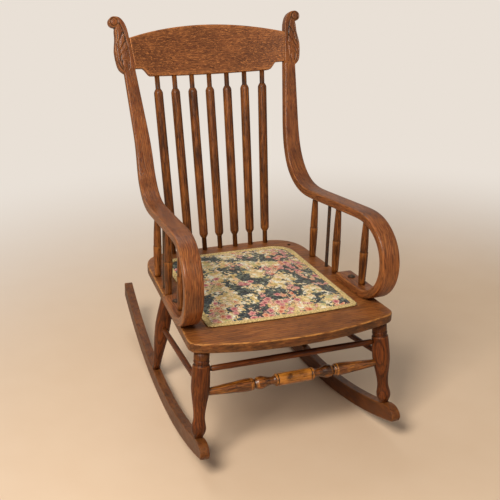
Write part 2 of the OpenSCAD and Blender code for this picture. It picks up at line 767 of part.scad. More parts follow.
// The whole profile, from one end to the other, between tenons
function mirrored(half, end_share) = let (n = len(half), e = (1 - half[n - 1][0]) / 2)
    concat([[0, end_share, straight], [e, end_share, straight]],
    [for (i = [n - 1 : -1 : 0]) [(1 - half[i][0]) / 2, half[i][1],
        i == n - 1 ? straight : reversed_kind(half[i + 1][2])]],
    [for (i = [1 : n - 1]) [(1 + half[i][0]) / 2, half[i][1], half[i][2]]],
    [[1 - e, end_share, straight], [1, end_share, straight]]);

// Share of a plain rail's length at which its shoulder stands off the leg, and of its
// diameter to which it is drawn in there
plain_end_share = 0.06;
plain_shoulder_share = 0.88;
function plain_rail_shares(d) = let (e = tenon_d / d, a = plain_end_share, b = plain_shoulder_share)
    [[0, e, straight], [a, e, straight], [a, b, straight], [0.5, 1, rise], [1 - a, b, fall],
    [1 - a, e, straight], [1, e, straight]];

module upper_front_stretcher() {
    color(dark_oak) rail(front_at(-1, upper_rail_z), front_at(1, upper_rail_z),
        plain_rail_shares(upper_rail_d), upper_rail_d);
}

module turned_front_stretcher() {
    color(golden_oak) rail(front_at(-1, lower_rail_z), front_at(1, lower_rail_z),
        mirrored(turned_half_shares, tenon_d / lower_rail_d), lower_rail_d);
}

module side_stretcher(s) {
    color(dark_oak) rail(rear_at(s, side_rail_rear_z), front_at(s, side_rail_front_z),
        plain_rail_shares(side_rail_d), side_rail_d);
}
module left_side_stretcher() { side_stretcher(-1); }
module right_side_stretcher() { side_stretcher(1); }

module rear_stretcher() {
    color(dark_oak) rail(rear_at(-1, rear_rail_z), rear_at(1, rear_rail_z), plain_rail_shares(side_rail_d),
        side_rail_d);
}

// Rockers

// Side view of a rocker as [y, z]: the rolling curve, the squared rear end and the nose
rear_round = 11;
nose_tip_h = 9;

function rocker_pts() = let (a = -rocker_len / 2, b = rocker_len / 2, n = 36,
        under = a + nose_tip_h / 2, shoulder_y = b - rear_round,
        nose = [a + nose_len, rocker_top(a + nose_len)], tip = [a, rocker_floor(a) + nose_tip_h],
        crown = [a + nose_tip_h, rocker_top(a + nose_len / 2)], heel = [b, rocker_top(b)])
    concat([for (i = [0 : n]) let (y = under + (b - under) * i / n) [y, rocker_floor(y)]],
        bend_pts(heel - [0, rear_round], heel, [shoulder_y, rocker_top(shoulder_y)], 4),
        [for (i = [1 : n]) let (y = shoulder_y + (nose[0] - shoulder_y) * i / n) [y, rocker_top(y)]],
        bend_pts(nose, crown, tip, 6));

module on_rocker_line() {
    translate([rocker_span / 2, 0, 0]) rotate([0, 0, atan(rocker_toe)]) children();
}

module rocker(s) {
    color(oak) difference() {
        mirror([s < 0 ? 1 : 0, 0, 0]) on_rocker_line() rotate([90, 0, 90])
            translate([0, 0, -rocker_w / 2]) linear_extrude(rocker_w) polygon(rocker_pts());
        hole(leg_foot(s), leg_head(s), foot_tenon_d, -foot_hole, foot_tenon_d);
        hole(rear_foot(s), rear_head(s), foot_tenon_d, -foot_hole, foot_tenon_d);
        rocker_pin(leg_foot(s), s, pin_d + 2 * glue_gap, rocker_w + 2 * cut);
        rocker_pin(rear_foot(s), s, pin_d + 2 * glue_gap, rocker_w + 2 * cut);
    }
}
module left_rocker() { rocker(-1); }
module right_rocker() { rocker(1); }

// Share of a rocker's height at which the pins pass, below the leg
pin_drop_share = 0.42;

// Pin across a rocker under the leg whose foot is at p
module rocker_pin(p, s, d, l) {
    translate(p - [0, 0, pin_drop_share * rocker_h]) rotate([0, 0, s * atan(rocker_toe)]) rotate([0, 90, 0])
        translate([0, 0, -l / 2]) cylinder(d = d, h = l);
}

module rocker_pins() {
    color(golden_oak) for (s = [-1, 1]) for (p = [leg_foot(s), rear_foot(s)])
        rocker_pin(p, s, pin_d, rocker_w);
}

seat_plank();
panel_board();
seat_pad();
panel_braid();
left_bent_arm();
right_bent_arm();
crest_rail();
back_spindle_1();
back_spindle_2();
back_spindle_3();
back_spindle_4();
back_spindle_5();
back_spindle_6();
back_spindle_7();
left_front_arm_spindle();
left_mid_arm_spindle();
left_rear_arm_spindle();
right_front_arm_spindle();
right_mid_arm_spindle();
right_rear_arm_spindle();
left_arm_rod();
right_arm_rod();
rod_nuts();
foot_bolts();
foot_bolt_nuts();
crest_dowels();
left_front_leg();
right_front_leg();
left_rear_leg();
right_rear_leg();
upper_front_stretcher();
turned_front_stretcher();
left_side_stretcher();
right_side_stretcher();
rear_stretcher();
left_rocker();
right_rocker();
rocker_pins();
seat_plugs();
panel_screws();
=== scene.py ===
# %% [markdown]
# # A bentwood-arm rocking chair
# The chair is oak: a plank seat, two steam-bent members that are post, arm and foot in one,
# a bowed crest rail, turned spindles, legs and stretchers, and two sawn rockers. A padded
# panel covered with tapestry lies in the seat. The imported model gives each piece's place,
# so every mesh here is made round those places, in metres, and put on the body "root".

# %% Start
import math
import bmesh
import bpy
import numpy as np
from mathutils import Matrix, Vector, noise


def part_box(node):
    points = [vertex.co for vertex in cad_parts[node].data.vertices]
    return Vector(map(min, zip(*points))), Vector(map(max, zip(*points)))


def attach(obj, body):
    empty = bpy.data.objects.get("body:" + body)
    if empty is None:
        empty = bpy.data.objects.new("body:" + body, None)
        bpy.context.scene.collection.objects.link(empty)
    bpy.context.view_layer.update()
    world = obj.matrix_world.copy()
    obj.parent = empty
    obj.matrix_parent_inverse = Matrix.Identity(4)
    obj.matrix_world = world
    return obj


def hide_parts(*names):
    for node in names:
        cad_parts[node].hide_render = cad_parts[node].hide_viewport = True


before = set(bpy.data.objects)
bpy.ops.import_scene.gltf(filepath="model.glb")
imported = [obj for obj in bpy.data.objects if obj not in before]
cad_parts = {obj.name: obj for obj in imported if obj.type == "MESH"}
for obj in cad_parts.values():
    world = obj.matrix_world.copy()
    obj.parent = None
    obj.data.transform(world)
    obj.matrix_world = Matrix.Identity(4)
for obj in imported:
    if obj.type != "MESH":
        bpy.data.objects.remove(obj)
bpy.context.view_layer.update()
print("frame", len(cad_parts), "nodes")

# %% [markdown]
# ## Camera
# The photograph was taken from the chair's left front, a little above its crest rail. The
# camera's place, turn and focal length came from fitting a pinhole camera to pairs of
# points on the left and right of the chair.

# %% Camera
CAMERA_AT = Vector((-0.8649, -2.1992, 1.3483))
CAMERA_YAW = math.radians(21.96)
CAMERA_PITCH = math.radians(22.03)
CAMERA_ROLL = math.radians(1.56)
CAMERA_LENS = 69.38

look = Vector((math.sin(CAMERA_YAW) * math.cos(CAMERA_PITCH),
               math.cos(CAMERA_YAW) * math.cos(CAMERA_PITCH),
               -math.sin(CAMERA_PITCH)))
level = Vector((math.cos(CAMERA_YAW), -math.sin(CAMERA_YAW), 0))
above = level.cross(look)
right = level * math.cos(CAMERA_ROLL) + above * math.sin(CAMERA_ROLL)
above = above * math.cos(CAMERA_ROLL) - level * math.sin(CAMERA_ROLL)
camera_data = bpy.data.cameras.new("camera")
camera_data.lens = CAMERA_LENS
camera_data.sensor_width = 36
camera = bpy.data.objects.new("camera", camera_data)
camera.matrix_world = Matrix((
    (right.x, above.x, -look.x, CAMERA_AT.x),
    (right.y, above.y, -look.y, CAMERA_AT.y),
    (right.z, above.z, -look.z, CAMERA_AT.z),
    (0, 0, 0, 1)))
bpy.context.scene.collection.objects.link(camera)
bpy.context.scene.camera = camera
bpy.context.scene.view_settings.view_transform = "Standard"
print("camera lens", CAMERA_LENS)

# %% [markdown]
# ## Helpers for materials
# Colours are written as sRGB hex, the way a paint chart or a picture editor gives them,
# and a shader works in linear light, so one function turns one into the other. One more
# function adds a node, sets what it needs and links it, which keeps each material short.

# %% Colour and nodes
def linear(hex_colour):
    """The linear colour of an sRGB hex value."""
    parts = [int(hex_colour[i:i + 2], 16) / 255 for i in (1, 3, 5)]
    return [c / 12.92 if c <= 0.04045 else ((c + 0.055) / 1.055) ** 2.4 for c in parts] + [1]


def add(tree, kind, inputs=(), **settings):
    """Adds a node of a kind, with its settings, and sets or links its inputs."""
    made = tree.nodes.new(kind)
    for name, value in settings.items():
        setattr(made, name, value)
    for key, value in dict(inputs).items():
        if isinstance(value, bpy.types.NodeSocket):
            tree.links.new(value, made.inputs[key])
        else:
            made.inputs[key].default_value = value
    return made


def new_material(name):
    """A material with an empty tree, and the tree."""
    made = bpy.data.materials.new(name)
    made.use_nodes = True
    made.node_tree.nodes.clear()
    return made, made.node_tree


def surface(tree, shader):
    """Sends a shader to the material's output."""
    output = add(tree, "ShaderNodeOutputMaterial")
    tree.links.new(shader.outputs[0], output.inputs["Surface"])


print("white is", linear("#ffffff"))

# %% [markdown]
# ## Layers of a finish
# A finish is built up the way a stainer works: each colour is laid over what is there,
# but only where some pattern is strong, such as rings, streaks or dirt. Most patterns of
# wood are cloudy spots drawn out along the grain, and real grain never runs quite
# straight, so the places that a pattern reads stray a little first.

# %% Layers of a finish
def laid_over(tree, base, colour, pattern, start, full, share=1.0, soft=True):
    """Lays a colour over a base: none where the pattern is at start, its share where it is full."""
    cover = add(tree, "ShaderNodeMapRange", {"Value": pattern, 1: start, 2: full, 3: 0, 4: share},
                interpolation_type="SMOOTHSTEP" if soft else "LINEAR").outputs[0]
    layer = linear(colour) if isinstance(colour, str) else colour
    return add(tree, "ShaderNodeMix", {0: cover, 6: base, 7: layer}, data_type="RGBA").outputs[2]


def marked(tree, base, colour, mark, pattern, start, full, least, most):
    """Lays a colour over the marked places of a piece, from least to most as a pattern varies."""
    uneven = add(tree, "ShaderNodeMapRange", {"Value": pattern, 1: start, 2: full, 3: least, 4: most},
                 interpolation_type="SMOOTHSTEP").outputs[0]
    places_marked = add(tree, "ShaderNodeAttribute", attribute_name=mark).outputs["Fac"]
    cover = add(tree, "ShaderNodeMath", {0: places_marked, 1: uneven}, operation="MULTIPLY",
                use_clamp=True).outputs[0]
    return add(tree, "ShaderNodeMix", {0: cover, 6: base, 7: linear(colour)}, data_type="RGBA").outputs[2]


def clouds(tree, where, size, detail=2.0, roughness=0.5, draw=1.0, turn=(0, 0, 0), shift=(0, 0, 0)):
    """Cloudy spots of a size; the smaller the share draw is, the longer they run along the grain."""
    drawn = add(tree, "ShaderNodeMapping",
                {"Vector": where, "Location": shift, "Rotation": turn, "Scale": (1, 1, draw)}).outputs[0]
    return add(tree, "ShaderNodeTexNoise",
               {"Vector": drawn, "Scale": 1 / size, "Detail": detail, "Roughness": roughness}).outputs["Fac"]


def straying(tree, where, span, reach):
    """Places that stray by up to a reach, slowly over each span."""
    stray = add(tree, "ShaderNodeTexNoise", {"Vector": where, "Scale": 1 / span}).outputs["Color"]
    return add(tree, "ShaderNodeVectorMath", {0: stray, 1: (reach, reach, reach), 2: where},
               operation="MULTIPLY_ADD").outputs[0]


print("a finish has base, layers and marks")

# %% [markdown]
# ## Colour of stained oak
# Oak shows four things. Growth rings make broad lines where a board or a turning cuts
# them. Open pores make short dark dashes along the grain, because stain and wax stay in
# them. Boards sawn through the heart also show rays, as short pale flecks. And on an old
# chair the stain is rubbed through at the edges, to an orange brown, while the grooves are
# darkened, partly by dirt and partly as painted shade. Each piece carries its own grain
# direction in an attribute named grain (x and y across, z along, in metres), so the figure
# follows a bend or a leaning leg.
# The colour comes first: rings, streaks, blotches and rays over two tones of fibre. A
# ray is about 0.5 mm wide, which is too fine to show from the camera, so it is drawn
# nearly 2 mm wide. Widths and sizes are in metres, and each DRAW is the share by which
# a pattern is shortened before it is read, which makes it long.

# %% Colour of stained oak
RING_SPACING = 0.0062
RING_TILT = (0.055, 0.035, 0)
RING_DRAW = 0.35
WAVE_PERIOD = 2 * math.pi / 20
STREAK_WIDTH = 0.0036
STREAK_DRAW = 0.024
STREAK_SHIFT = (3, 1, 0)
BLOTCH_SIZE = 0.0238
BLOTCH_DRAW = 0.35
TONE_SIZE = 0.0909
FLECK_WIDTH = 0.0018
FLECK_DRAW = 0.12
FLECK_TURN = (0, 0.16, 0)
FLECK_STRAY_SPAN = 0.020
FLECK_STRAY = 0.012


def oak_colour(tree, grain, bent, fibre, stain, figure, fleck):
    """The colour of stained oak before wear: rings, streaks, blotches and optional ray flecks."""
    dark, middle, light, worn = stain
    around_pith = add(tree, "ShaderNodeMapping",
                      {"Vector": bent, "Location": (*figure["pith"], 0), "Rotation": RING_TILT,
                       "Scale": (1, 1, RING_DRAW)}).outputs[0]
    rings = add(tree, "ShaderNodeTexWave",
                {"Vector": around_pith, "Scale": WAVE_PERIOD / figure["spacing"], "Distortion": 1.6,
                 "Detail": 2, "Detail Scale": 0.5},
                wave_type="RINGS", rings_direction="Z", wave_profile="SAW").outputs["Fac"]
    streaks = clouds(tree, bent, STREAK_WIDTH, 4, 0.66, STREAK_DRAW, shift=STREAK_SHIFT)
    blotches = clouds(tree, grain, BLOTCH_SIZE, 3, 0.6, BLOTCH_DRAW)
    base = laid_over(tree, linear(middle), light, fibre, 0.36, 0.64)
    base = laid_over(tree, base, dark, rings, 0.55, 0.98, figure["ring"])
    base = laid_over(tree, base, dark, streaks, 0.52, 0.68, figure["streak"])
    base = laid_over(tree, base, worn, streaks, 0.48, 0.34, figure["streak"] * 0.55)
    base = laid_over(tree, base, dark, blotches, 0.5, 0.72, figure["mottle"])
    base = laid_over(tree, base, worn, blotches, 0.46, 0.3, figure["mottle"] * 0.6)
    base = laid_over(tree, base, dark, clouds(tree, grain, TONE_SIZE), 0.42, 0.68, 0.35)
    if fleck:
        rays = clouds(tree, straying(tree, grain, FLECK_STRAY_SPAN, FLECK_STRAY), FLECK_WIDTH, 1.5,
                      draw=FLECK_DRAW, turn=FLECK_TURN)
        base = laid_over(tree, base, worn, rays, 0.56, 0.65, fleck)
        base = laid_over(tree, base, dark, rays, 0.44, 0.36, fleck * 0.5)
    return base


print("ring spacing", RING_SPACING * 1000, "mm")

# %% [markdown]
# ## Pores, wear, dirt and painted shade
# Two more attributes mark the edges and the grooves of a piece: one for wear, and one
# for the dark of dirt together with painted shade. Rubbing and darkening are both patchy,
# so each follows its mark only as far as a cloudy pattern lets it. A real pore is about
# 0.3 mm wide, and it is also drawn nearly 2 mm wide. The pale fibre stands a little proud
# and is a little duller than the dark, and the pores lie below both.

# %% Stained oak
STRAY_SPAN = 0.1667
FIBRE_WIDTH = 0.0026
FIBRE_DRAW = 0.045
PORE_WIDTH = 0.0019
PORE_DRAW = 0.10
RUBBED_PATCH = 0.01333
RUBBED_DRAW = 0.6
DIRT_AND_SHADE_PATCH = 0.0182
DIRT_AND_SHADE_DRAW = 0.4
DIRT_AND_SHADE_COLOUR = "#140a05"


def stained_oak(name, dark, middle, light, worn, fleck=0.0, rough=0.42, wear_amount=1.0,
                pith=(0.05, 0.09), mottle=0.45, ring=0.6, streak=0.7, spacing=RING_SPACING, gloss=0.3,
                wander=0.016):
    """Oak under stain and wax, with open pores, rubbed edges, and grooves darkened by dirt and painted shade.
    """
    made, tree = new_material(name)
    figure = {"pith": pith, "mottle": mottle, "ring": ring, "streak": streak, "spacing": spacing}
    grain = add(tree, "ShaderNodeAttribute", attribute_name="grain").outputs["Vector"]
    bent = straying(tree, grain, STRAY_SPAN, wander)
    fibre = clouds(tree, bent, FIBRE_WIDTH, 3, 0.6, FIBRE_DRAW)
    pores = clouds(tree, bent, PORE_WIDTH, 1, draw=PORE_DRAW)
    base = oak_colour(tree, grain, bent, fibre, (dark, middle, light, worn), figure, fleck)
    rubbed = clouds(tree, grain, RUBBED_PATCH, 4, draw=RUBBED_DRAW)
    base = marked(tree, base, worn, "wear", rubbed, 0.36, 0.6, 0.15, wear_amount)
    base = laid_over(tree, base, dark, pores, 0.55, 0.68, 0.6)
    # The grooves are laid darker, patchily, as dirt and as painted shade.
    darkening = clouds(tree, grain, DIRT_AND_SHADE_PATCH, 3, 0.6, DIRT_AND_SHADE_DRAW)
    base = marked(tree, base, DIRT_AND_SHADE_COLOUR, "dirt_and_shade", darkening, 0.35, 0.62, 0.55, 1.25)
    polish = add(tree, "ShaderNodeMapRange",
                 {"Value": fibre, 1: 0.3, 2: 0.7, 3: rough - 0.06, 4: rough + 0.12},
                 interpolation_type="SMOOTHSTEP").outputs[0]
    open_pores = add(tree, "ShaderNodeMapRange", {"Value": pores, 1: 0.55, 2: 0.68},
                     interpolation_type="SMOOTHSTEP").outputs[0]
    height = add(tree, "ShaderNodeMath", {0: fibre, 1: open_pores}, operation="SUBTRACT").outputs[0]
    bump = add(tree, "ShaderNodeBump", {"Height": height, "Strength": 0.3, "Distance": 0.0008}).outputs[0]
    surface(tree, add(tree, "ShaderNodeBsdfPrincipled",
                      {"Base Color": base, "Roughness": polish, "Normal": bump, "IOR": 1.5,
                       "Specular IOR Level": gloss, "Coat Weight": 0.04, "Coat Roughness": 0.3}))
    return made


print("pores are drawn", PORE_WIDTH * 1000, "mm wide")

# %% [markdown]
# ## Seven oaks
# One maker used one timber, but each piece took the stain and the years in its own way.
# The four colours run from the dark of pores and rings, through two tones of stained
# fibre, to the orange brown where the stain is rubbed thin. The bent stock is straight
# grained, the crest is quarter sawn and so has flecks, the lower turned rail is rubbed
# to gold by heels, and the legs and rockers stayed dark.

# %% Seven oaks
oak_bent = stained_oak("oak_steam_bent_satin_stain", "#32170a", "#7b4120", "#985d32", "#b6753a",
                       mottle=0.35, pith=(0, 0.03), ring=0.55, streak=0.5, rough=0.34, spacing=0.0040,
                       wear_amount=0.5, wander=0.036)
oak_crest = stained_oak("oak_quarter_sawn_satin_stain", "#3c1d0b", "#764324", "#8b542b", "#c07c45",
                        fleck=0.66, mottle=0.25, ring=0.35, streak=0.35, pith=(0.9, 0.1))
oak_seat = stained_oak("oak_plank_rubbed_stain", "#371a09", "#864b23", "#995e2d", "#c58846",
                       wear_amount=1.0, mottle=0.12, ring=0.4, streak=0.55, pith=(0.1, 0.9), gloss=0.28)
oak_spindles = stained_oak("oak_turned_satin_stain", "#1e0c04", "#623213", "#8b5121", "#b9722c",
                           mottle=0.5, streak=0.6, rough=0.34)
oak_legs = stained_oak("oak_turned_dark_stain", "#1d0b03", "#592a0f", "#763c16", "#955720",
                       wear_amount=0.6, mottle=0.35, streak=0.28, gloss=0.2)
oak_golden = stained_oak("oak_turned_golden_rubbed", "#1c0b02", "#693511", "#8c5019", "#bb782c",
                         wear_amount=1.2, mottle=0.9, rough=0.26, streak=0.8, ring=0.7, gloss=0.46)
oak_rockers = stained_oak("oak_sawn_satin_stain", "#241004", "#582b0f", "#6f3b17", "#8f5a2a",
                          mottle=0.35, wear_amount=0.6, streak=0.6, pith=(0.1, 0.9), gloss=0.22)
print("oak materials", 7)

# %% [markdown]
# ## Reading a shape for wear
# Hands and cloth rub the stain off wherever a surface turns sharply outwards, and dirt
# stays where it turns inwards, where shade falls too, so there the colour is darkened as
# dirt and as painted shade. This function measures how much each vertex's edges turn:
# along an edge of length e, the far end lies e * e / 2r below the tangent plane on a
# curve of radius r. The sharpest outward turn gives wear and the sharpest inward turn
# gives the mark for dirt and painted shade. Turns are counted as 1 / r, so 150 is a
# radius of 6.7 mm. Two rounds of smoothing make the marks as soft as they are on old wood.

# %% Wear and dust from the shape
WEAR_FROM = 150
WEAR_FULL = 330
DIRT_AND_SHADE_FROM = 60
DIRT_AND_SHADE_FULL = 260


def places(mesh):
    """The mesh's vertices as an array."""
    flat = np.zeros(len(mesh.vertices) * 3)
    mesh.vertices.foreach_get("co", flat)
    return flat.reshape(-1, 3)


def read_shape(mesh, rounds=2):
    """Writes the attributes for wear and for dirt with painted shade on a mesh from how its surface turns."""
    count = len(mesh.vertices)
    place = places(mesh)
    normal = np.zeros(count * 3)
    mesh.vertices.foreach_get("normal", normal)
    normal = normal.reshape(-1, 3)
    pairs = np.zeros(len(mesh.edges) * 2, int)
    mesh.edges.foreach_get("vertices", pairs)
    pairs = pairs.reshape(-1, 2)
    pairs = np.vstack([pairs, pairs[:, ::-1]])
    step = place[pairs[:, 1]] - place[pairs[:, 0]]
    length = np.maximum((step ** 2).sum(1), 1e-10)
    turn = -2 * (normal[pairs[:, 0]] * step).sum(1) / length
    outward = np.full(count, -1e3)
    inward = np.full(count, 1e3)
    np.maximum.at(outward, pairs[:, 0], turn)
    np.minimum.at(inward, pairs[:, 0], turn)
    wear = np.clip((outward - WEAR_FROM) / (WEAR_FULL - WEAR_FROM), 0, 1)
    # Inward turns give the mark for dirt and for painted shade.
    dirt_and_shade = np.clip((-inward - DIRT_AND_SHADE_FROM) / (DIRT_AND_SHADE_FULL - DIRT_AND_SHADE_FROM), 0, 1)
    degree = np.bincount(pairs[:, 0], minlength=count)
    for _ in range(rounds):
        wear = (wear + np.bincount(pairs[:, 0], wear[pairs[:, 1]], count) / np.maximum(degree, 1)) / 2
        dirt_and_shade = (dirt_and_shade + np.bincount(pairs[:, 0], dirt_and_shade[pairs[:, 1]], count) / np.maximum(degree, 1)) / 2
    for name, value in (("wear", wear), ("dirt_and_shade", dirt_and_shade)):
        mesh.attributes.new(name, "FLOAT", "POINT").data.foreach_set("value", value.astype(np.float32))


print("wear starts at a radius of", round(1000 / WEAR_FROM, 1), "mm")

# %% [markdown]
# ## Finishing a piece
# Every wooden piece ends the same way: doubles are merged, faces point outwards, the
# surface is shaded smooth with the broad flats held flat by weighted normals, and the
# grain, the wear and the mark for dirt and painted shade are written. The grain is moved
# along from piece to piece, so that no two show the same stretch of wood, but across it
# moves by a centimetre at most, because the rings lie round the pith. Then the piece goes
# on its body, takes the place of its node and is kept by name among the pieces made.

# %% Finishing a piece
GRAIN_STEP = np.array((0.004, 0.005, 0.173), np.float32)
SAME_PLACE = 1e-6
pieces_made = {}


def finish_piece(name, made, material, node=None, grain=None, flats=True):
    """Makes a bmesh into a finished piece of the chair."""
    bmesh.ops.remove_doubles(made, verts=made.verts[:], dist=SAME_PLACE)
    bmesh.ops.recalc_face_normals(made, faces=made.faces[:])
    mesh = bpy.data.meshes.new(name)
    made.to_mesh(mesh)
    made.free()
    mesh.shade_smooth()
    mesh.materials.append(material)
    if grain is not None:
        field = grain(places(mesh)).astype(np.float32)
        count = len(pieces_made)
        field += np.array((count * 3 % 5 - 2, count * 2 % 5 - 2, count), np.float32) * GRAIN_STEP
        mesh.attributes.new("grain", "FLOAT_VECTOR", "POINT").data.foreach_set("vector", field.ravel())
        read_shape(mesh)
    piece = bpy.data.objects.new(name, mesh)
    bpy.context.scene.collection.objects.link(piece)
    if flats:
        piece.modifiers.new("flats", "WEIGHTED_NORMAL").keep_sharp = True
    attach(piece, "root")
    if node:
        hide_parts(node)
    pieces_made[name] = piece
    return piece


print("the grain moves on by", round(float(GRAIN_STEP[2]), 3), "m from piece to piece")

# %% [markdown]
# ## Turned pieces
# A turner makes each spindle, leg and stretcher on a lathe, so each is a profile spun
# about its own axis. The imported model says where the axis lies. The way in which the
# node's points spread most is the way it runs, and the middles of its two ends are the
# ends of the axis.

# %% Axis of a turned piece
END_SLICE = 0.0004


def axis_of(node):
    """The middles of a turned node's two ends, the lower or the left one first."""
    place = places(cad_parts[node].data)
    middle = place.mean(0)
    turned_to = np.linalg.svd(place - middle, full_matrices=False)[2]
    local = (place - middle) @ turned_to.T
    ends = []
    for end in (local[:, 0].min(), local[:, 0].max()):
        ring = local[np.abs(local[:, 0] - end) < END_SLICE]
        centre = np.array((end, (ring[:, 1].min() + ring[:, 1].max()) / 2,
                           (ring[:, 2].min() + ring[:, 2].max()) / 2))
        ends.append(Vector(centre @ turned_to + middle))
    key = 2 if abs(ends[0].z - ends[1].z) > abs(ends[0].x - ends[1].x) else 0
    return sorted(ends, key=lambda end: end[key])


print("back spindle axis", [tuple(round(c, 3) for c in end) for end in axis_of("back_spindle_1")])

# %% [markdown]
# A profile is a list of stations, each with its share of the length, its radius and the
# way the tool got there: straight, in a wave that is flat at both ends, in a rise that
# ends flat, or in a fall that starts flat. Where a radius changes at once, the two
# stations lie a very small step apart. The profile is spun about its axis and put in
# its place, and its grain is read in the lathe's own frame.

# %% Turning
STRAIGHT, WAVE, RISE, FALL = range(4)
EASE = {STRAIGHT: lambda t: t,
        WAVE: lambda t: (1 - math.cos(math.pi * t)) / 2,
        RISE: lambda t: math.sin(math.pi * t / 2),
        FALL: lambda t: 1 - math.cos(math.pi * t / 2)}
CURVE_STEPS = 8
LATHE_STEPS = 48
SQUARE_STEP = 0.0001


def profile_points(stations, length):
    """The lathe's path: (radius, height) from one end to the other."""
    path = [(stations[0][1], stations[0][0] * length)]
    for low, high in zip(stations, stations[1:]):
        count = 1 if high[2] == STRAIGHT else CURVE_STEPS
        for step in range(1, count + 1):
            t = step / count
            path.append((low[1] + (high[1] - low[1]) * EASE[high[2]](t),
                         (low[0] + (high[0] - low[0]) * t) * length))
    return path


def lathe(stations, length):
    """A closed turned shape that stands on the origin."""
    made = bmesh.new()
    first, last = stations[0][0] * length, stations[-1][0] * length
    path = [(0, first)] + profile_points(stations, length) + [(0, last)]
    line = [made.verts.new((radius, 0, height)) for radius, height in path]
    edges = [made.edges.new(pair) for pair in zip(line, line[1:])]
    bmesh.ops.spin(made, geom=line + edges, cent=(0, 0, 0), axis=(0, 0, 1), dvec=(0, 0, 0),
                   angle=2 * math.pi, steps=LATHE_STEPS, use_merge=True, use_duplicate=False)
    bmesh.ops.remove_doubles(made, verts=made.verts[:], dist=SAME_PLACE)
    return made


def turned_piece(name, low, high, stations, material, node=None):
    """A turned piece from low to high, whose grain runs along it."""
    turn = (high - low).to_track_quat("Z", "Y").to_matrix().to_4x4()
    put = Matrix.Translation(low) @ turn
    made = lathe(stations, (high - low).length)
    bmesh.ops.transform(made, matrix=put, verts=made.verts[:])
    back = np.array(put.inverted())

    def along(place):
        return place @ back[:3, :3].T + back[:3, 3]

    return finish_piece(name, made, material, node, along, flats=False)


print("turned pieces have", LATHE_STEPS, "sides")

# %% [markdown]
# ## Back spindles
# Seven spindles stand in the seat and run up into the crest rail. Each is a plain round
# body between two thin necks, with a soft shoulder where the body meets a neck.

# %% Back spindles
SPINDLE_HOLE = 0.017
SPINDLE_BODY = 0.0120
SPINDLE_NECK = 0.006625
NECK_LENGTH = 0.034
NECK_FLARE = 0.0014
FLARE_SHARE = 0.003
BODY_SWELL = 0.0002
SHOULDER = 0.012

for number in range(1, 8):
    node = f"back_spindle_{number}"
    low, high = axis_of(node)
    whole = (high - low).length
    neck = (SPINDLE_HOLE + NECK_LENGTH) / whole
    body = neck + SHOULDER / whole
    turned_piece(f"spindle_of_back_{number}", low, high,
                 [(0, SPINDLE_NECK, STRAIGHT), (neck, SPINDLE_NECK, STRAIGHT),
                  (neck + FLARE_SHARE, SPINDLE_NECK + NECK_FLARE, RISE), (body, SPINDLE_BODY, RISE),
                  (0.5, SPINDLE_BODY + BODY_SWELL, STRAIGHT), (1 - body, SPINDLE_BODY, STRAIGHT),
                  (1 - neck - FLARE_SHARE, SPINDLE_NECK + NECK_FLARE, FALL),
                  (1 - neck, SPINDLE_NECK, STRAIGHT),
                  (1, SPINDLE_NECK, STRAIGHT)],
                 oak_spindles, node)
print("back spindles", 7)

# %% [markdown]
# ## Arm spindles
# Three on each side hold the arm up. Each swells from both ends to a scribed ring at
# mid height, where the turner let the corner of the chisel bite, and is a little
# thinner above the ring than below it.

# %% Arm spindles
PROP_HOLE = 0.012
PROP_TENON = 0.0055
PROP_FOOT = 0.0087
PROP_MIDDLE = 0.01075
PROP_HEAD = 0.0068
SCRIBE_DEPTH = 0.0009
SCRIBE_WIDTH = 0.0016
SCRIBE_STEP = 0.0007

for side in ("left", "right"):
    for place in ("front", "mid", "rear"):
        node = f"{side}_{place}_arm_spindle"
        low, high = axis_of(node)
        whole = (high - low).length
        foot = PROP_HOLE / whole
        ring = SCRIBE_WIDTH / whole
        turned_piece(f"arm_spindle_{side}_{place}", low, high,
                     [(0, PROP_TENON, STRAIGHT), (foot, PROP_TENON, STRAIGHT),
                      (foot + SQUARE_STEP, PROP_FOOT, STRAIGHT), (0.5 - ring, PROP_MIDDLE, RISE),
                      (0.5, PROP_MIDDLE - SCRIBE_DEPTH, STRAIGHT),
                      (0.5 + ring, PROP_MIDDLE - SCRIBE_STEP, STRAIGHT),
                      (1 - foot - SQUARE_STEP, PROP_HEAD, FALL), (1 - foot, PROP_TENON, STRAIGHT),
                      (1, PROP_TENON, STRAIGHT)],
                     oak_spindles, node)
print("arm spindles", 6)

# %% [markdown]
# ## Legs
# A front leg is a long vase under a neck with a groove and a bead, and it ends in a bulb
# above a thin ankle. A rear leg, which few people look at, is a plain vase. The shares
# below run from the rocker up to the seat, and the tenons at both ends come from the
# node's own length. Just under the seat every leg's collar is painted darker, as painted
# shade from the seat above.

# %% Legs
FOOT_TENON_LENGTH = 0.028
FOOT_TENON = 0.0065
LEG_TENON_LENGTH = 0.017
LEG_TENON = 0.012
LEG_RADIUS = 0.022
COLLAR_HEIGHT = 0.036
COLLAR_SHADE = 0.4
REAR_RADIUS = 0.0205
FRONT_LEG = [(0, 0.5, STRAIGHT), (0.02, 0.53, STRAIGHT), (0.1, 0.8, RISE), (0.23, 0.62, WAVE),
             (0.6, 1, WAVE), (0.78, 0.955, FALL), (0.815, 0.93, RISE), (0.832, 0.8, FALL),
             (0.842, 0.79, STRAIGHT), (0.866, 0.86, RISE), (0.888, 0.79, FALL), (0.896, 0.84, RISE),
             (1, 0.85, STRAIGHT)]
REAR_LEG = [(0, 0.52, STRAIGHT), (0.55, 1, WAVE), (0.86, 0.8, WAVE), (1, 0.76, STRAIGHT)]


def paint_shade_between(mesh, above, darkening, below=math.inf):
    """Raises the dark mark of a mesh between two heights, as painted shade."""
    height = places(mesh)[:, 2]
    dirt_and_shade = np.zeros(len(height), np.float32)
    mesh.attributes["dirt_and_shade"].data.foreach_get("value", dirt_and_shade)
    kept = (height > above) & (height < below)
    dirt_and_shade[kept] = np.maximum(dirt_and_shade[kept], darkening)
    mesh.attributes["dirt_and_shade"].data.foreach_set("value", dirt_and_shade)


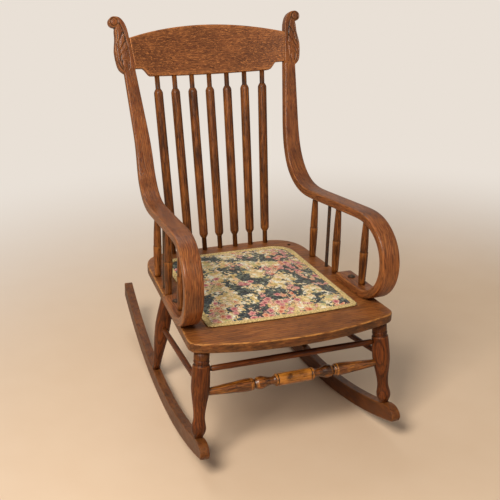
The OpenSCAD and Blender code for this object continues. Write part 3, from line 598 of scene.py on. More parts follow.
def leg(node, shares, radius):
    """A leg with its two tenons, in the place of its node."""
    low, high = axis_of(node)
    whole = (high - low).length
    foot = FOOT_TENON_LENGTH / whole
    head = 1 - LEG_TENON_LENGTH / whole
    stations = [(0, FOOT_TENON, STRAIGHT), (foot, FOOT_TENON, STRAIGHT)]
    stations += [(foot + SQUARE_STEP + share * (head - foot - 2 * SQUARE_STEP), scale * radius, kind)
                 for share, scale, kind in shares]
    stations += [(head, LEG_TENON, STRAIGHT), (1, LEG_TENON, STRAIGHT)]
    turned = turned_piece(node.replace("_leg", "_turned_leg"), low, high, stations,
                          oak_legs, node)
    # The collar just under the seat is painted darker, as painted shade.
    paint_shade_between(turned.data, high.z - LEG_TENON_LENGTH - COLLAR_HEIGHT, COLLAR_SHADE)


for side in ("left", "right"):
    leg(f"{side}_front_leg", FRONT_LEG, LEG_RADIUS)
    leg(f"{side}_rear_leg", REAR_LEG, REAR_RADIUS)
print("legs", 4)

# %% [markdown]
# ## Stretchers
# The show piece is the lower front stretcher: a plain drum in the middle, then on each
# side a cove, a ring bead and a long tapering vase, rubbed to a golden brown. The
# others are plain rails that swell a little towards their middles.

# %% Stretchers
RAIL_TENON = 0.0055
TENON_STOP = 0.00715
TURNED_RADIUS = 0.0152
TURNED_HALF = [(0, 1, STRAIGHT), (0.174, 1, STRAIGHT), (0.180, 0.9, FALL), (0.186, 0.9, STRAIGHT),
               (0.193, 1, RISE), (0.203, 0.98, STRAIGHT), (0.217, 0.76, FALL), (0.25, 0.62, RISE),
               (0.275, 0.66, WAVE), (0.33, 0.93, STRAIGHT), (0.365, 1.04, RISE), (0.4, 0.97, FALL),
               (0.424, 0.76, STRAIGHT), (0.43, 0.69, STRAIGHT), (0.438, 0.69, STRAIGHT), (0.446, 0.9, RISE),
               (0.462, 0.98, RISE), (0.468, 0.93, STRAIGHT), (0.474, 1.01, RISE), (0.52, 1.03, RISE),
               (0.7, 0.84, WAVE), (0.93, 0.55, STRAIGHT), (1, 0.38, STRAIGHT)]
BACKWARD = {STRAIGHT: STRAIGHT, WAVE: WAVE, RISE: FALL, FALL: RISE}


def both_halves(half):
    """A whole profile from the half that runs from its middle outward."""
    count = len(half)
    first = [((1 - half[i][0]) / 2, half[i][1],
              STRAIGHT if i == count - 1 else BACKWARD[half[i + 1][2]]) for i in range(count - 1, -1, -1)]
    return first + [((1 + share) / 2, scale, kind) for share, scale, kind in half[1:]]


def plain_rail(radius):
    """A rail that swells evenly from its tenons to its middle."""
    end = RAIL_TENON / radius
    return [(0, end, STRAIGHT), (0.052, end, STRAIGHT), (0.056, 0.87, STRAIGHT), (0.5, 1, RISE),
            (0.944, 0.87, FALL), (0.948, end, STRAIGHT), (1, end, STRAIGHT)]


RAILS = {"upper_front_stretcher": (plain_rail(0.008), 0.008, oak_legs, "oak_legs"),
         "turned_front_stretcher": (both_halves(TURNED_HALF), TURNED_RADIUS, oak_golden, "oak_golden"),
         "left_side_stretcher": (plain_rail(0.0075), 0.0075, oak_legs, "oak_legs"),
         "right_side_stretcher": (plain_rail(0.0075), 0.0075, oak_legs, "oak_legs"),
         "rear_stretcher": (plain_rail(0.0075), 0.0075, oak_legs, "oak_legs")}
for node, (shares, radius, material, slot) in RAILS.items():
    low, high = axis_of(node)
    reach = (high - low).normalized() * TENON_STOP
    low, high = low - reach, high + reach
    cut = TENON_STOP / (high - low).length
    stations = [(min(max(share, cut), 1 - cut), scale * radius, kind) for share, scale, kind in shares]
    turned_piece(node.replace("stretcher", "rail"), low, high, stations, material, node)
print("stretchers", len(RAILS))

# %% [markdown]
# ## Outlines
# The seat and the panel have the same kind of outline: a front edge that bows forward,
# sides that draw in towards the back, and rear corners that are rounded wide. One
# function gives both, as points from the middle of the front round to the left. Points
# at matching places let the seat's top be bridged to the edge of the panel's recess.

# %% Outlines
SEAT_LOW, SEAT_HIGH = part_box("seat_plank")
SEAT_FRONT = SEAT_LOW.y
SEAT_TOP = SEAT_HIGH.z
SEAT_WIDTH = SEAT_HIGH.x - SEAT_LOW.x
SEAT_BACK_WIDTH = 0.448
SEAT_DEPTH = SEAT_HIGH.y - SEAT_LOW.y
SEAT_BOW = 0.045
SEAT_FRONT_ROUND = 0.024
SEAT_BACK_ROUND = 0.092
FRONT_POINTS = 16
CORNER_POINTS = 8
SIDE_POINTS = 16
HEEL_POINTS = 14
BACK_POINTS = 8


def between(start, pull, end, count):
    """Points on a curve from start to end that is drawn towards pull, without its start."""
    steps = [i / count for i in range(1, count + 1)]
    return [(1 - t) ** 2 * start + 2 * t * (1 - t) * pull + t * t * end for t in steps]


def half_outline(front, back, depth, bow, front_round, back_round):
    """Half of a seat's outline, from the middle of the front to the middle of the back."""
    radius = (front * front / 4 + bow * bow) / (2 * bow)
    corner = Vector((front / 2, bow))
    heel = Vector((back / 2, depth))
    side = (heel - corner).normalized()
    bend_from = front / 2 - front_round
    arc = [Vector((x, radius - math.sqrt(radius * radius - x * x)))
           for x in (bend_from * i / FRONT_POINTS for i in range(FRONT_POINTS + 1))]
    points = arc + between(arc[-1], corner, corner + side * front_round, CORNER_POINTS)
    turn_from = heel - side * back_round
    points += between(points[-1], (points[-1] + turn_from) / 2, turn_from, SIDE_POINTS)
    points += between(turn_from, heel, heel - Vector((back_round, 0)), HEEL_POINTS)
    return points + between(points[-1], Vector((points[-1].x / 2, depth)), Vector((0, depth)), BACK_POINTS)


def whole_outline(*sizes):
    """A whole outline, right half first."""
    half = half_outline(*sizes)
    return half + [Vector((-point.x, point.y)) for point in half[-2:0:-1]]


print("seat outline points", len(whole_outline(SEAT_WIDTH, SEAT_BACK_WIDTH, SEAT_DEPTH, SEAT_BOW,
                                               SEAT_FRONT_ROUND, SEAT_BACK_ROUND)))

# %% [markdown]
# ## From an outline to a solid
# Four moves make most of the sawn pieces. An outline becomes a ring of edges, a ring is
# pushed to make a wall, a flat face is given a thickness, and edges are rounded.

# %% Rings, walls and rounded edges
def ring_of(made, points, y, z):
    """A closed ring of edges through the points, at a height."""
    line = [made.verts.new((point.x, y + point.y, z)) for point in points]
    return line, [made.edges.new(pair) for pair in zip(line, line[1:] + line[:1])]


def pushed(made, edges, by):
    """Extrudes a ring of edges and moves the new ring; gives its vertices and edges."""
    got = bmesh.ops.extrude_edge_only(made, edges=edges)["geom"]
    verts = [part for part in got if isinstance(part, bmesh.types.BMVert)]
    bmesh.ops.translate(made, verts=verts, vec=by)
    fresh = set(verts)
    ring = [part for part in got if isinstance(part, bmesh.types.BMEdge)
            and part.verts[0] in fresh and part.verts[1] in fresh]
    return verts, ring


def rounded(made, edges, by, steps=3):
    """Rounds edges, as a plane and sandpaper do."""
    bmesh.ops.bevel(made, geom=edges, offset=by, affect="EDGES", segments=steps, profile=0.5, material=-1)


def thickened(made, by):
    """Gives a flat shape its thickness: a copy of its faces is pushed away."""
    got = bmesh.ops.extrude_face_region(made, geom=made.faces[:])["geom"]
    bmesh.ops.translate(made, verts=[part for part in got if isinstance(part, bmesh.types.BMVert)],
                        vec=by)
    bmesh.ops.recalc_face_normals(made, faces=made.faces[:])


print("moves for sawn pieces", 4)

# %% [markdown]
# ## Seat plank
# The seat is one thick board with its grain across the chair and every arris eased, the
# top one most at the front, where the legs of sitters have rubbed it to a light brown.
# The recess for the panel's board is cut into it. The outline and the recess are bridged,
# both are pushed down, and the outer edges are bevelled in several steps. Two more rings
# close to each arris keep the rubbed line narrow, and the sides are painted darker than
# the top, as painted shade.

# %% Seat plank
BOARD_LOW, BOARD_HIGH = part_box("panel_board")
PANEL_FRONT = BOARD_LOW.y
PANEL_WIDTH = BOARD_HIGH.x - BOARD_LOW.x
PANEL_BACK_WIDTH = 0.370
PANEL_DEPTH = BOARD_HIGH.y - BOARD_LOW.y
PANEL_BOW = 0.008
PANEL_FRONT_ROUND = 0.007
PANEL_BACK_ROUND = 0.062
BOARD_THICK = BOARD_HIGH.z - BOARD_LOW.z
RECESS_GAP = 0.00015
TOP_ROUND = 0.0032
WEAR_REACH = 0.003
SIDE_SHADE = 0.5
UNDER_ROUND = 0.0040


def panel_outline(grow):
    """The panel's outline, grown by a distance."""
    return whole_outline(PANEL_WIDTH + 2 * grow, PANEL_BACK_WIDTH + 2 * grow, PANEL_DEPTH + 2 * grow,
                         PANEL_BOW, PANEL_FRONT_ROUND, PANEL_BACK_ROUND + grow)


def along_x(place):
    """Grain that runs across the chair."""
    return place[:, [2, 1, 0]]


made = bmesh.new()
outer, outer_edges = ring_of(made, whole_outline(SEAT_WIDTH, SEAT_BACK_WIDTH, SEAT_DEPTH, SEAT_BOW,
                                                 SEAT_FRONT_ROUND, SEAT_BACK_ROUND), SEAT_FRONT, SEAT_TOP)
inner, inner_edges = ring_of(made, panel_outline(RECESS_GAP), PANEL_FRONT - RECESS_GAP, SEAT_TOP)
bmesh.ops.bridge_loops(made, edges=outer_edges + inner_edges)
floor_verts, floor_edges = pushed(made, inner_edges, (0, 0, -BOARD_THICK))
bmesh.ops.contextual_create(made, geom=floor_edges)
under_verts, under_edges = pushed(made, outer_edges, (0, 0, SEAT_LOW.z - SEAT_TOP))
bmesh.ops.contextual_create(made, geom=under_edges)
bmesh.ops.recalc_face_normals(made, faces=made.faces[:])
rounded(made, outer_edges, TOP_ROUND, 4)
under_edges = [edge for edge in made.edges if all(abs(v.co.z - SEAT_LOW.z) < SAME_PLACE for v in edge.verts)
               and len(edge.link_faces) == 2]
rounded(made, under_edges, UNDER_ROUND)
for level in (SEAT_TOP - TOP_ROUND - WEAR_REACH, SEAT_LOW.z + UNDER_ROUND + WEAR_REACH):
    bmesh.ops.bisect_plane(made, geom=made.verts[:] + made.edges[:] + made.faces[:], plane_co=(0, 0, level),
                           plane_no=(0, 0, 1))
top = [face for face in made.faces if all(abs(vert.co.z - SEAT_TOP) < SAME_PLACE for vert in face.verts)]
for _ in range(2):
    bmesh.ops.inset_region(made, faces=top, thickness=WEAR_REACH, use_even_offset=True, use_boundary=True)
plank = finish_piece("plank_seat", made, oak_seat, "seat_plank", along_x)
# Below the rounding of the top the seat is painted darker, as painted shade.
paint_shade_between(plank.data, SEAT_LOW.z - 1, SIDE_SHADE, below=SEAT_TOP - TOP_ROUND * 0.9)
print("seat", round(SEAT_WIDTH, 3), "by", round(SEAT_DEPTH, 3))

# %% [markdown]
# ## Rockers
# A rocker is sawn from a board: a long curve that rolls on the floor, the same curve a
# little tighter on top, a rear end cut square with its corner rounded, and a nose that
# slopes down to a blunt tip in front of the leg. The side view is drawn as one face,
# pushed to its width, bevelled along its edges, and turned a little, because the two
# rockers draw in towards the back.

# %% Rockers
ROCKER_LOW, ROCKER_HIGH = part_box("right_rocker")
ROCKER_LENGTH = 0.869
ROCKER_HEIGHT = 0.041
ROCKER_WIDTH = 0.023
ROCKER_RADIUS = 1.150
BALANCE_AHEAD = 0.037
ROCKER_SPAN = 0.451
ROCKER_SLANT = 0.055
NOSE_LENGTH = 0.044
NOSE_TIP = 0.009
REAR_ROUND = 0.011
ROCKER_EASE = 0.0022
ROCKER_POINTS = 72
REAR_POINTS = 6
NOSE_POINTS = 10


def rocker_curve(y, radius):
    """Height of one of a rocker's two curves at a place along it."""
    return ROCKER_RADIUS - math.sqrt(radius * radius - (y + BALANCE_AHEAD) ** 2)


def rocker_side():
    """Side view of a rocker as (y, z) points."""
    front, rear = -ROCKER_LENGTH / 2, ROCKER_LENGTH / 2
    top_radius = ROCKER_RADIUS - ROCKER_HEIGHT
    under = front + NOSE_TIP / 2
    floor_line = [Vector((y, rocker_curve(y, ROCKER_RADIUS)))
                  for y in (under + (rear - under) * i / ROCKER_POINTS for i in range(ROCKER_POINTS + 1))]
    heel = Vector((rear, rocker_curve(rear, top_radius)))
    shoulder = rear - REAR_ROUND
    top_start = Vector((shoulder, rocker_curve(shoulder, top_radius)))
    nose = front + NOSE_LENGTH
    top_line = [Vector((y, rocker_curve(y, top_radius)))
                for y in (shoulder + (nose - shoulder) * i / ROCKER_POINTS
                          for i in range(1, ROCKER_POINTS + 1))]
    tip = Vector((front, rocker_curve(front, ROCKER_RADIUS) + NOSE_TIP))
    crown = Vector((front + NOSE_TIP, rocker_curve(front + NOSE_LENGTH / 2, top_radius)))
    rear_face = heel - Vector((0, REAR_ROUND))
    rear_corner = [rear_face] + between(rear_face, heel, top_start, REAR_POINTS)
    return floor_line + rear_corner + top_line + between(top_line[-1], crown, tip, NOSE_POINTS)


def along_y(place):
    """Grain that runs from front to back."""
    return place[:, [0, 2, 1]]


for side, sign in (("left", -1), ("right", 1)):
    made = bmesh.new()
    line = [made.verts.new((-ROCKER_WIDTH / 2, point.x, point.y)) for point in rocker_side()]
    made.faces.new(line)
    thickened(made, (ROCKER_WIDTH, 0, 0))
    rims = [edge for edge in made.edges if abs(edge.verts[0].co.x - edge.verts[1].co.x) < SAME_PLACE]
    rounded(made, rims, ROCKER_EASE)
    cheeks = [face for face in made.faces if abs(face.normal.x) > 0.99 and len(face.verts) > 20]
    bmesh.ops.inset_region(made, faces=cheeks, thickness=WEAR_REACH, use_even_offset=True, use_boundary=True)
    put = Matrix.Translation((ROCKER_SPAN / 2, 0, 0)) @ Matrix.Rotation(math.atan(ROCKER_SLANT), 4, "Z")
    bmesh.ops.transform(made, matrix=Matrix.Scale(sign, 4, (1, 0, 0)) @ put, verts=made.verts[:])
    finish_piece(f"{side}_sawn_rocker", made, oak_rockers, f"{side}_rocker", along_y)
print("rockers", 2)

# %% [markdown]
# ## Bent arms
# Each side of the chair is one straight stick of oak, steamed and bent round a form: up
# the back it is the post, then it sweeps forward as the arm, rolls down in a loop and
# runs back a hand's length as the foot. The quickest true way to make it is the way the
# bender does: bent in one plane first, and spread afterwards. The sizes come first. The
# lines of the post and the arm meet at the knee, and the bend is the round that touches
# both.

# %% Sizes of the bent member
ARM_THICK = 0.022
LOOP_HEIGHT = 0.223
LOOP_FRONT = 0.053
BEND_RADIUS = 0.125
ARM_RISE = math.radians(6.0)
FOOT_END = 0.272
BACK_LEAN = math.radians(20.5)
CREST_HEIGHT = 0.831
CREST_BACK = 0.668
POST_ABOVE = 0.060

loop_r = LOOP_HEIGHT / 2
loop_mid_r = loop_r - ARM_THICK / 2
loop_centre = Vector((SEAT_FRONT + LOOP_FRONT + loop_r, SEAT_TOP + loop_r))
arm_start = loop_centre + loop_mid_r * Vector((math.sin(ARM_RISE), math.cos(ARM_RISE)))
arm_way = Vector((math.cos(ARM_RISE), -math.sin(ARM_RISE)))
post_way = Vector((math.sin(BACK_LEAN), math.cos(BACK_LEAN)))
crest_at = Vector((SEAT_FRONT + CREST_BACK, CREST_HEIGHT))
arm_run = (crest_at - arm_start).cross(post_way) / arm_way.cross(post_way)
knee = arm_start + arm_run * arm_way
bend_run = BEND_RADIUS * math.tan((math.pi / 2 - BACK_LEAN + ARM_RISE) / 2)
bend_low = knee - bend_run * arm_way
bend_high = knee + bend_run * post_way
bend_centre = bend_low + BEND_RADIUS * Vector((math.sin(ARM_RISE), math.cos(ARM_RISE)))
post_end = crest_at + POST_ABOVE * post_way
print("the post and the arm meet", round(knee.y, 3), "m up")

# %% [markdown]
# Seen from above, the two arms draw in towards the back. Seen from the front, the posts
# lean outward above the bend, gently at first, and are planed narrower towards the top.
# Two functions give the member's place and width, and a third takes the flat member
# there.

# %% Spread and width
ARM_WIDTH = 0.0463
POST_WIDTH = 0.031
ARM_SPREAD = 0.482
ARM_SLANT = 0.067
POST_SPLAY = 0.108
SPLAY_BLEND = 0.080


def arm_middle(y, z):
    """Distance of the member's middle line from the chair's middle plane."""
    rise = z - bend_high.y
    lean = np.where(rise < SPLAY_BLEND, np.maximum(rise, 0) ** 2 / (2 * SPLAY_BLEND),
                    rise - SPLAY_BLEND / 2)
    return ARM_SPREAD / 2 - ARM_SLANT * (y - loop_centre.x) + POST_SPLAY * lean


def arm_width(z):
    """Width of the member at a height: planed narrower above the top of the loop."""
    share = np.clip((z - SEAT_TOP - LOOP_HEIGHT) / (CREST_HEIGHT - SEAT_TOP - LOOP_HEIGHT), 0, 1)
    return ARM_WIDTH + (POST_WIDTH - ARM_WIDTH) * share


def spread(made):
    """Leans, turns and planes the flat member, as the one on the right."""
    for vert in made.verts:
        y, z = vert.co.y, vert.co.z
        width = vert.co.x * float(arm_width(z)) / ARM_WIDTH
        vert.co.x = float(arm_middle(y, z)) + width


print("arm tops are", round(2 * float(arm_middle(arm_start.x, arm_start.y)), 3), "m apart")

# %% [markdown]
# A rounded section is pushed along the straights and spun round the bends, all in one
# plane, from the top of the post to the end of the foot, where its edges are eased.

# %% Bent member in its plane
FOOT_EASE = 0.0025
SQUARENESS = 0.30
SECTION_POINTS = 40
POST_RINGS, KNEE_RINGS, ARM_RINGS, LOOP_RINGS, FOOT_RINGS = 24, 26, 20, 60, 12


def rounded_section(made):
    """A ring with broad, slightly crowned sides and rounded arrises, one unit wide and thick."""
    ring = bmesh.ops.create_circle(made, segments=SECTION_POINTS, radius=1)["verts"]
    for vert in ring:
        x, y = vert.co.x, vert.co.y
        vert.co.x = math.copysign(abs(x) ** SQUARENESS, x) / 2
        vert.co.y = math.copysign(abs(y) ** SQUARENESS, y) / 2
    return ring, list({edge for vert in ring for edge in vert.link_edges})


def flat_member():
    """The member before it is spread: its middle line lies in the plane X = 0."""
    made = bmesh.new()
    ring, edges = rounded_section(made)
    bmesh.ops.scale(made, vec=(ARM_WIDTH, ARM_THICK, 1), verts=ring)
    bmesh.ops.rotate(made, verts=ring, cent=(0, 0, 0), matrix=Matrix.Rotation(-BACK_LEAN, 3, "X"))
    bmesh.ops.translate(made, verts=ring, vec=(0, post_end.x, post_end.y))
    bmesh.ops.contextual_create(made, geom=edges)

    def straight(edges, by, steps):
        for _ in range(steps):
            edges = pushed(made, edges, (0, by.x / steps, by.y / steps))[1]
        return edges

    def bend(edges, centre, angle, steps):
        verts = list({vert for edge in edges for vert in edge.verts})
        got = bmesh.ops.spin(made, geom=verts + edges, cent=(0, centre.x, centre.y), axis=(1, 0, 0),
                             dvec=(0, 0, 0), angle=angle, steps=steps, use_merge=False, use_duplicate=False)
        return [part for part in got["geom_last"] if isinstance(part, bmesh.types.BMEdge)]

    edges = straight(edges, bend_high - post_end, POST_RINGS)
    edges = bend(edges, bend_centre, -(math.pi / 2 - BACK_LEAN + ARM_RISE), KNEE_RINGS)
    edges = straight(edges, arm_start - bend_low, ARM_RINGS)
    edges = bend(edges, loop_centre, math.pi + ARM_RISE, LOOP_RINGS)
    foot_run = SEAT_FRONT + FOOT_END - loop_centre.x - FOOT_EASE
    edges = straight(edges, Vector((foot_run, 0)), FOOT_RINGS)
    verts, edges = pushed(made, edges, (0, FOOT_EASE, 0))
    bmesh.ops.scale(made, vec=(1 - 2 * FOOT_EASE / ARM_WIDTH, 1, 1 - 2 * FOOT_EASE / ARM_THICK),
                    verts=verts, space=Matrix.Translation((0, 0, -SEAT_TOP - ARM_THICK / 2)))
    bmesh.ops.contextual_create(made, geom=edges)
    return made


flat = flat_member()
print("bent member", len(flat.verts), "points")

# %% [markdown]
# The grain of bent wood follows the bend. For each vertex the nearest place on the middle
# line gives how far along the stick it lies, and how far out it is across the bend.

# %% Grain round the bends
EAR_REACH = 0.14
POST_STEPS, KNEE_STEPS, ARM_STEPS, LOOP_STEPS, FOOT_STEPS = 120, 60, 60, 120, 40
NEAREST_AT_ONCE = 4000


def middle_line():
    """Close points along the member's middle line, as (y, z), from the ear to the foot."""
    top = post_end + EAR_REACH * post_way
    line = [top + (bend_high - top) * i / POST_STEPS for i in range(POST_STEPS)]
    for i in range(KNEE_STEPS):
        angle = -BACK_LEAN - (math.pi / 2 - BACK_LEAN + ARM_RISE) * i / KNEE_STEPS
        line.append(bend_centre + BEND_RADIUS * Vector((math.cos(angle), math.sin(angle))))
    line += [bend_low + (arm_start - bend_low) * i / ARM_STEPS for i in range(ARM_STEPS)]
    for i in range(LOOP_STEPS):
        angle = math.pi / 2 - ARM_RISE + (math.pi + ARM_RISE) * i / LOOP_STEPS
        line.append(loop_centre + loop_mid_r * Vector((math.cos(angle), math.sin(angle))))
    foot = Vector((loop_centre.x, SEAT_TOP + ARM_THICK / 2))
    foot_run = Vector((FOOT_END - LOOP_FRONT - loop_r, 0))
    return line + [foot + foot_run * i / FOOT_STEPS for i in range(FOOT_STEPS + 1)]


line = np.array([tuple(point) for point in middle_line()])
run = np.concatenate([[0], np.cumsum(np.linalg.norm(np.diff(line, axis=0), axis=1))])
way = np.gradient(line, axis=0)
way /= np.linalg.norm(way, axis=1)[:, None]


def along_member(place):
    """Grain that follows the bent member."""
    found = np.zeros(len(place), int)
    for start in range(0, len(place), NEAREST_AT_ONCE):
        batch = slice(start, start + NEAREST_AT_ONCE)
        gap = place[batch, None, 1:] - line[None]
        found[batch] = (gap ** 2).sum(2).argmin(1)
    offset = place[:, 1:] - line[found]
    ahead = (offset * way[found]).sum(1)
    out = offset[:, 0] * way[found, 1] - offset[:, 1] * way[found, 0]
    across = np.abs(place[:, 0]) - arm_middle(place[:, 1], place[:, 2])
    return np.stack([across, out, run[found] + ahead], 1)


print("stick before bending", round(float(run[-1]), 3), "m long")

# %% [markdown]
# Wood doesn't go from straight to bent at one point: it eases into a bend over a hand's
# width. The middle line is averaged over that length, and each vertex moves as its place
# on the line does. The share falls to nothing down the front of the loop, so the foot
# still lies flat on the seat.

# %% Easing the bends
EASE_LENGTH = 0.090
EASE_STEP = 0.002
EASE_END_SHARE = 1.35
EASE_FADE_SHARE = 0.9

even_run = np.arange(0, run[-1], EASE_STEP)
even_line = np.stack([np.interp(even_run, run, line[:, i]) for i in (0, 1)], 1)
width = int(EASE_LENGTH / EASE_STEP) // 2
padded_line = np.vstack([2 * even_line[0] - even_line[width:0:-1], even_line,
                         2 * even_line[-1] - even_line[-2:-width - 2:-1]])
window = np.ones(2 * width + 1) / (2 * width + 1)
eased = np.stack([np.convolve(padded_line[:, i], window, "valid") for i in (0, 1)], 1)
loop_top = float(run[len(line) - 1 - FOOT_STEPS - LOOP_STEPS])
ease_end = loop_top + loop_mid_r * EASE_END_SHARE
share = np.clip((ease_end - even_run) / (loop_mid_r * EASE_FADE_SHARE), 0, 1)
share = share * share * (3 - 2 * share)
shift = (eased - even_line) * share[:, None]
at = along_member(np.array([tuple(vert.co) for vert in flat.verts]))[:, 2]
for vert, y, z in zip(flat.verts, np.interp(at, even_run, shift[:, 0]), np.interp(at, even_run, shift[:, 1])):
    vert.co += Vector((0, y, z))
print("the bends move by up to", round(float(np.linalg.norm(shift, axis=1).max()) * 1000, 1), "mm")

# %% [markdown]
# ## Carved ears
# Above the crest rail the stick widens into an ear that leans out to a volute. The
# carver left a plain strip on the inner side, set it off with a groove, cut three
# crescents for leaves, an oval boss under them and a round button in the volute. Each
# cut lowers the points of the front that lie near its line. The ear's sizes are in
# millimetres here: out from the post's inner edge, and up along the post. The grooves
# round the boss and the button are in shares of their sizes.

# %% Cuts of the carver
EAR_FOOT = -9
VOLUTE = (30.6, 127)
CUT_DEPTH = 0.0026
STRIP_GROOVE = [(24, 131), (19, 122), (15, 111), (12.6, 99), (11.2, 84), (10.4, 68), (10.2, 50), (11, 34),
                (12.4, 20), (16, 6), (21, -2)]
LEAF_CUTS = [[(15.5, 96), (22, 86), (28, 76), (31.5, 62)],
             [(11.5, 74), (19, 66), (26, 59), (31, 50)],
             [(13, 50), (22, 46), (30, 39), (34, 29)]]
EDGE_GROOVE = [(28, 104), (30, 90), (33.5, 76), (37, 62), (39.6, 50), (40.4, 36), (40, 22), (37.5, 10),
               (33, 1)]
BOSS = (25, 15)
BOSS_SIZE = (6.5, 11)
BOSS_GROOVE, BOSS_GROOVE_WIDTH, BOSS_REACH = 1.12, 0.22, 1.34
BUTTON_RADIUS = 9.6
BUTTON_GROOVE, BUTTON_GROOVE_WIDTH, BUTTON_REACH = 1.05, 0.2, 1.27
STRIP_WIDTH, LEAF_WIDTH, HOLLOW_WIDTH, EDGE_WIDTH = 1.9, 2.3, 5, 1.7
HOLLOW_AT = np.array((1.5, -3.5))
FOOT_FADE = 12
FOOT_THICK_SHARE = 0.87
TURNED_FORWARD = 0.4


def smooth_line(points, count=12):
    """A smooth line through points."""
    points = [2 * np.array(points[0]) - points[1]] + [np.array(p) for p in points]
    points.append(2 * points[-1] - points[-2])
    line = []
    for a, b, c, d in zip(points, points[1:], points[2:], points[3:]):
        for t in np.arange(count) / count:
            line.append(0.5 * (2 * b + (c - a) * t + (2 * a - 5 * b + 4 * c - d) * t * t
                               + (3 * b - a - 3 * c + d) * t ** 3))
    return np.array(line + [points[-2]])


def nearness(place, line, width):
    """How close each place lies to a line: 1 on it and 0 from a width away."""
    gap = np.sqrt(((place[:, None] - line[None]) ** 2).sum(2).min(1))
    return np.clip(1 - gap / width, 0, 1)


def soft(share):
    """A share made smooth at both ends."""
    return share * share * (3 - 2 * share)


def carved(place, facing):
    """Lowers the front of an ear along its cuts; place is in metres in the ear's frame."""
    flat = place[:, :2] * 1000
    cut = soft(nearness(flat, smooth_line(STRIP_GROOVE), STRIP_WIDTH))
    for leaf in LEAF_CUTS:
        line = smooth_line(leaf)
        cut = np.maximum(cut, soft(nearness(flat, line, LEAF_WIDTH)))
        cut = np.maximum(cut, 0.4 * soft(nearness(flat - HOLLOW_AT, line, HOLLOW_WIDTH)))
    cut = np.maximum(cut, 0.6 * soft(nearness(flat, smooth_line(EDGE_GROOVE), EDGE_WIDTH)))
    oval = np.sqrt((((flat - BOSS) / BOSS_SIZE) ** 2).sum(1))
    ring = soft(np.clip(1 - np.abs(oval - BOSS_GROOVE) / BOSS_GROOVE_WIDTH, 0, 1))
    cut = np.where(oval < BOSS_REACH, ring * 0.95 - 0.35 * soft(np.clip(1 - oval, 0, 1)), cut)
    spot = np.sqrt(((flat - VOLUTE) ** 2).sum(1)) / BUTTON_RADIUS
    ring = soft(np.clip(1 - np.abs(spot - BUTTON_GROOVE) / BUTTON_GROOVE_WIDTH, 0, 1))
    dome = np.clip(1 - spot * spot, 0, 1)
    cut = np.where(spot < BUTTON_REACH, ring * 0.9 - 0.5 * dome, cut)
    foot = soft(np.clip((flat[:, 1] - EAR_FOOT) / FOOT_FADE, 0, 1))
    place = place.copy()
    place[:, 2] *= FOOT_THICK_SHARE + (1 - FOOT_THICK_SHARE) * foot
    place[:, 2] -= np.where(facing > TURNED_FORWARD, CUT_DEPTH * cut * foot, 0)
    return place


print("the carving is up to", CUT_DEPTH * 1000, "mm deep")

# %% [markdown]
# A sawn face has few points, too few to carve. Voxel remeshing turns a closed shape into
# even clay, with points as close as the voxels. It is a modifier, so the shape becomes an
# object for a moment, and a mesh again with the modifier applied.

# %% Even clay
def as_object(name, made):
    """An object from a bmesh, in the scene."""
    mesh = bpy.data.meshes.new(name)
    made.to_mesh(mesh)
    made.free()
    blank = bpy.data.objects.new(name, mesh)
    bpy.context.scene.collection.objects.link(blank)
    return blank


def with_modifiers(blank):
    """The mesh of an object with its modifiers applied; the object is removed."""
    shaped = bpy.data.meshes.new_from_object(blank.evaluated_get(bpy.context.evaluated_depsgraph_get()))
    bpy.data.objects.remove(blank)
    return shaped


def as_clay(made, voxel):
    """The mesh of a bmesh after voxel remeshing, which makes it even all over."""
    blank = as_object("blank", made)
    clay = blank.modifiers.new("clay", "REMESH")
    clay.mode = "VOXEL"
    clay.voxel_size = voxel
    return with_modifiers(blank)


def from_mesh(mesh):
    """A bmesh of a mesh; the mesh is removed."""
    made = bmesh.new()
    made.from_mesh(mesh)
    bpy.data.meshes.remove(mesh)
    return made


def smoothed(made, factor, rounds=1):
    """Smooths a bmesh all over."""
    for _ in range(rounds):
        bmesh.ops.smooth_vert(made, verts=made.verts[:], factor=factor, use_axis_x=True, use_axis_y=True,
                              use_axis_z=True)


print("clay is ready for the ears and the pad")

# %% [markdown]
# The blank is sawn from the outline, with a disc for the volute at its tip. It is turned
# into clay and carved, and then it leans back and outward with the post. The finished
# ear is kept as a mesh, because both members get a copy of it.

# %% Ear
EAR_THICK = 0.0240
VOLUTE_RADIUS = 14
EAR_OUTLINE = [(31, EAR_FOOT), (3, EAR_FOOT), (0, 0), (0, 40), (0, 77.5), (0.5, 99), (2.5, 113),
               (6.8, 125.7), (14, 135.3), (22, 139.5), (31, 140.6), (31, 113), (31.4, 109), (33.1, 103),
               (35, 88), (37.6, 77), (41.1, 65), (44.0, 53), (45.0, 42), (45.1, 28), (44.3, 15),
               (41.6, 4), (36.4, -4)]
CLAY = 0.0011


def carved_ear():
    """The sawn blank of an ear as even clay, with its cuts, in the ear's frame."""
    made = bmesh.new()
    outline = smooth_line([EAR_OUTLINE[i] for i in range(2, 11)], 6)
    outline = [EAR_OUTLINE[0], EAR_OUTLINE[1]] + [tuple(p) for p in outline]
    outline += [tuple(p) for p in smooth_line(EAR_OUTLINE[11:], 6)]
    made.faces.new([made.verts.new((x / 1000, v / 1000, -EAR_THICK / 2)) for x, v in outline])
    disc = bmesh.ops.create_circle(made, cap_ends=True, segments=64, radius=VOLUTE_RADIUS / 1000)["verts"]
    bmesh.ops.translate(made, verts=disc, vec=(VOLUTE[0] / 1000, VOLUTE[1] / 1000, -EAR_THICK / 2))
    thickened(made, (0, 0, EAR_THICK))
    made = from_mesh(as_clay(made, CLAY))
    smoothed(made, 0.5, 3)
    made.normal_update()
    facing = np.array([vert.normal.z for vert in made.verts])
    shaped = carved(np.array([tuple(vert.co) for vert in made.verts]), facing)
    for vert, place in zip(made.verts, shaped):
        vert.co = place
    smoothed(made, 0.3)
    return made


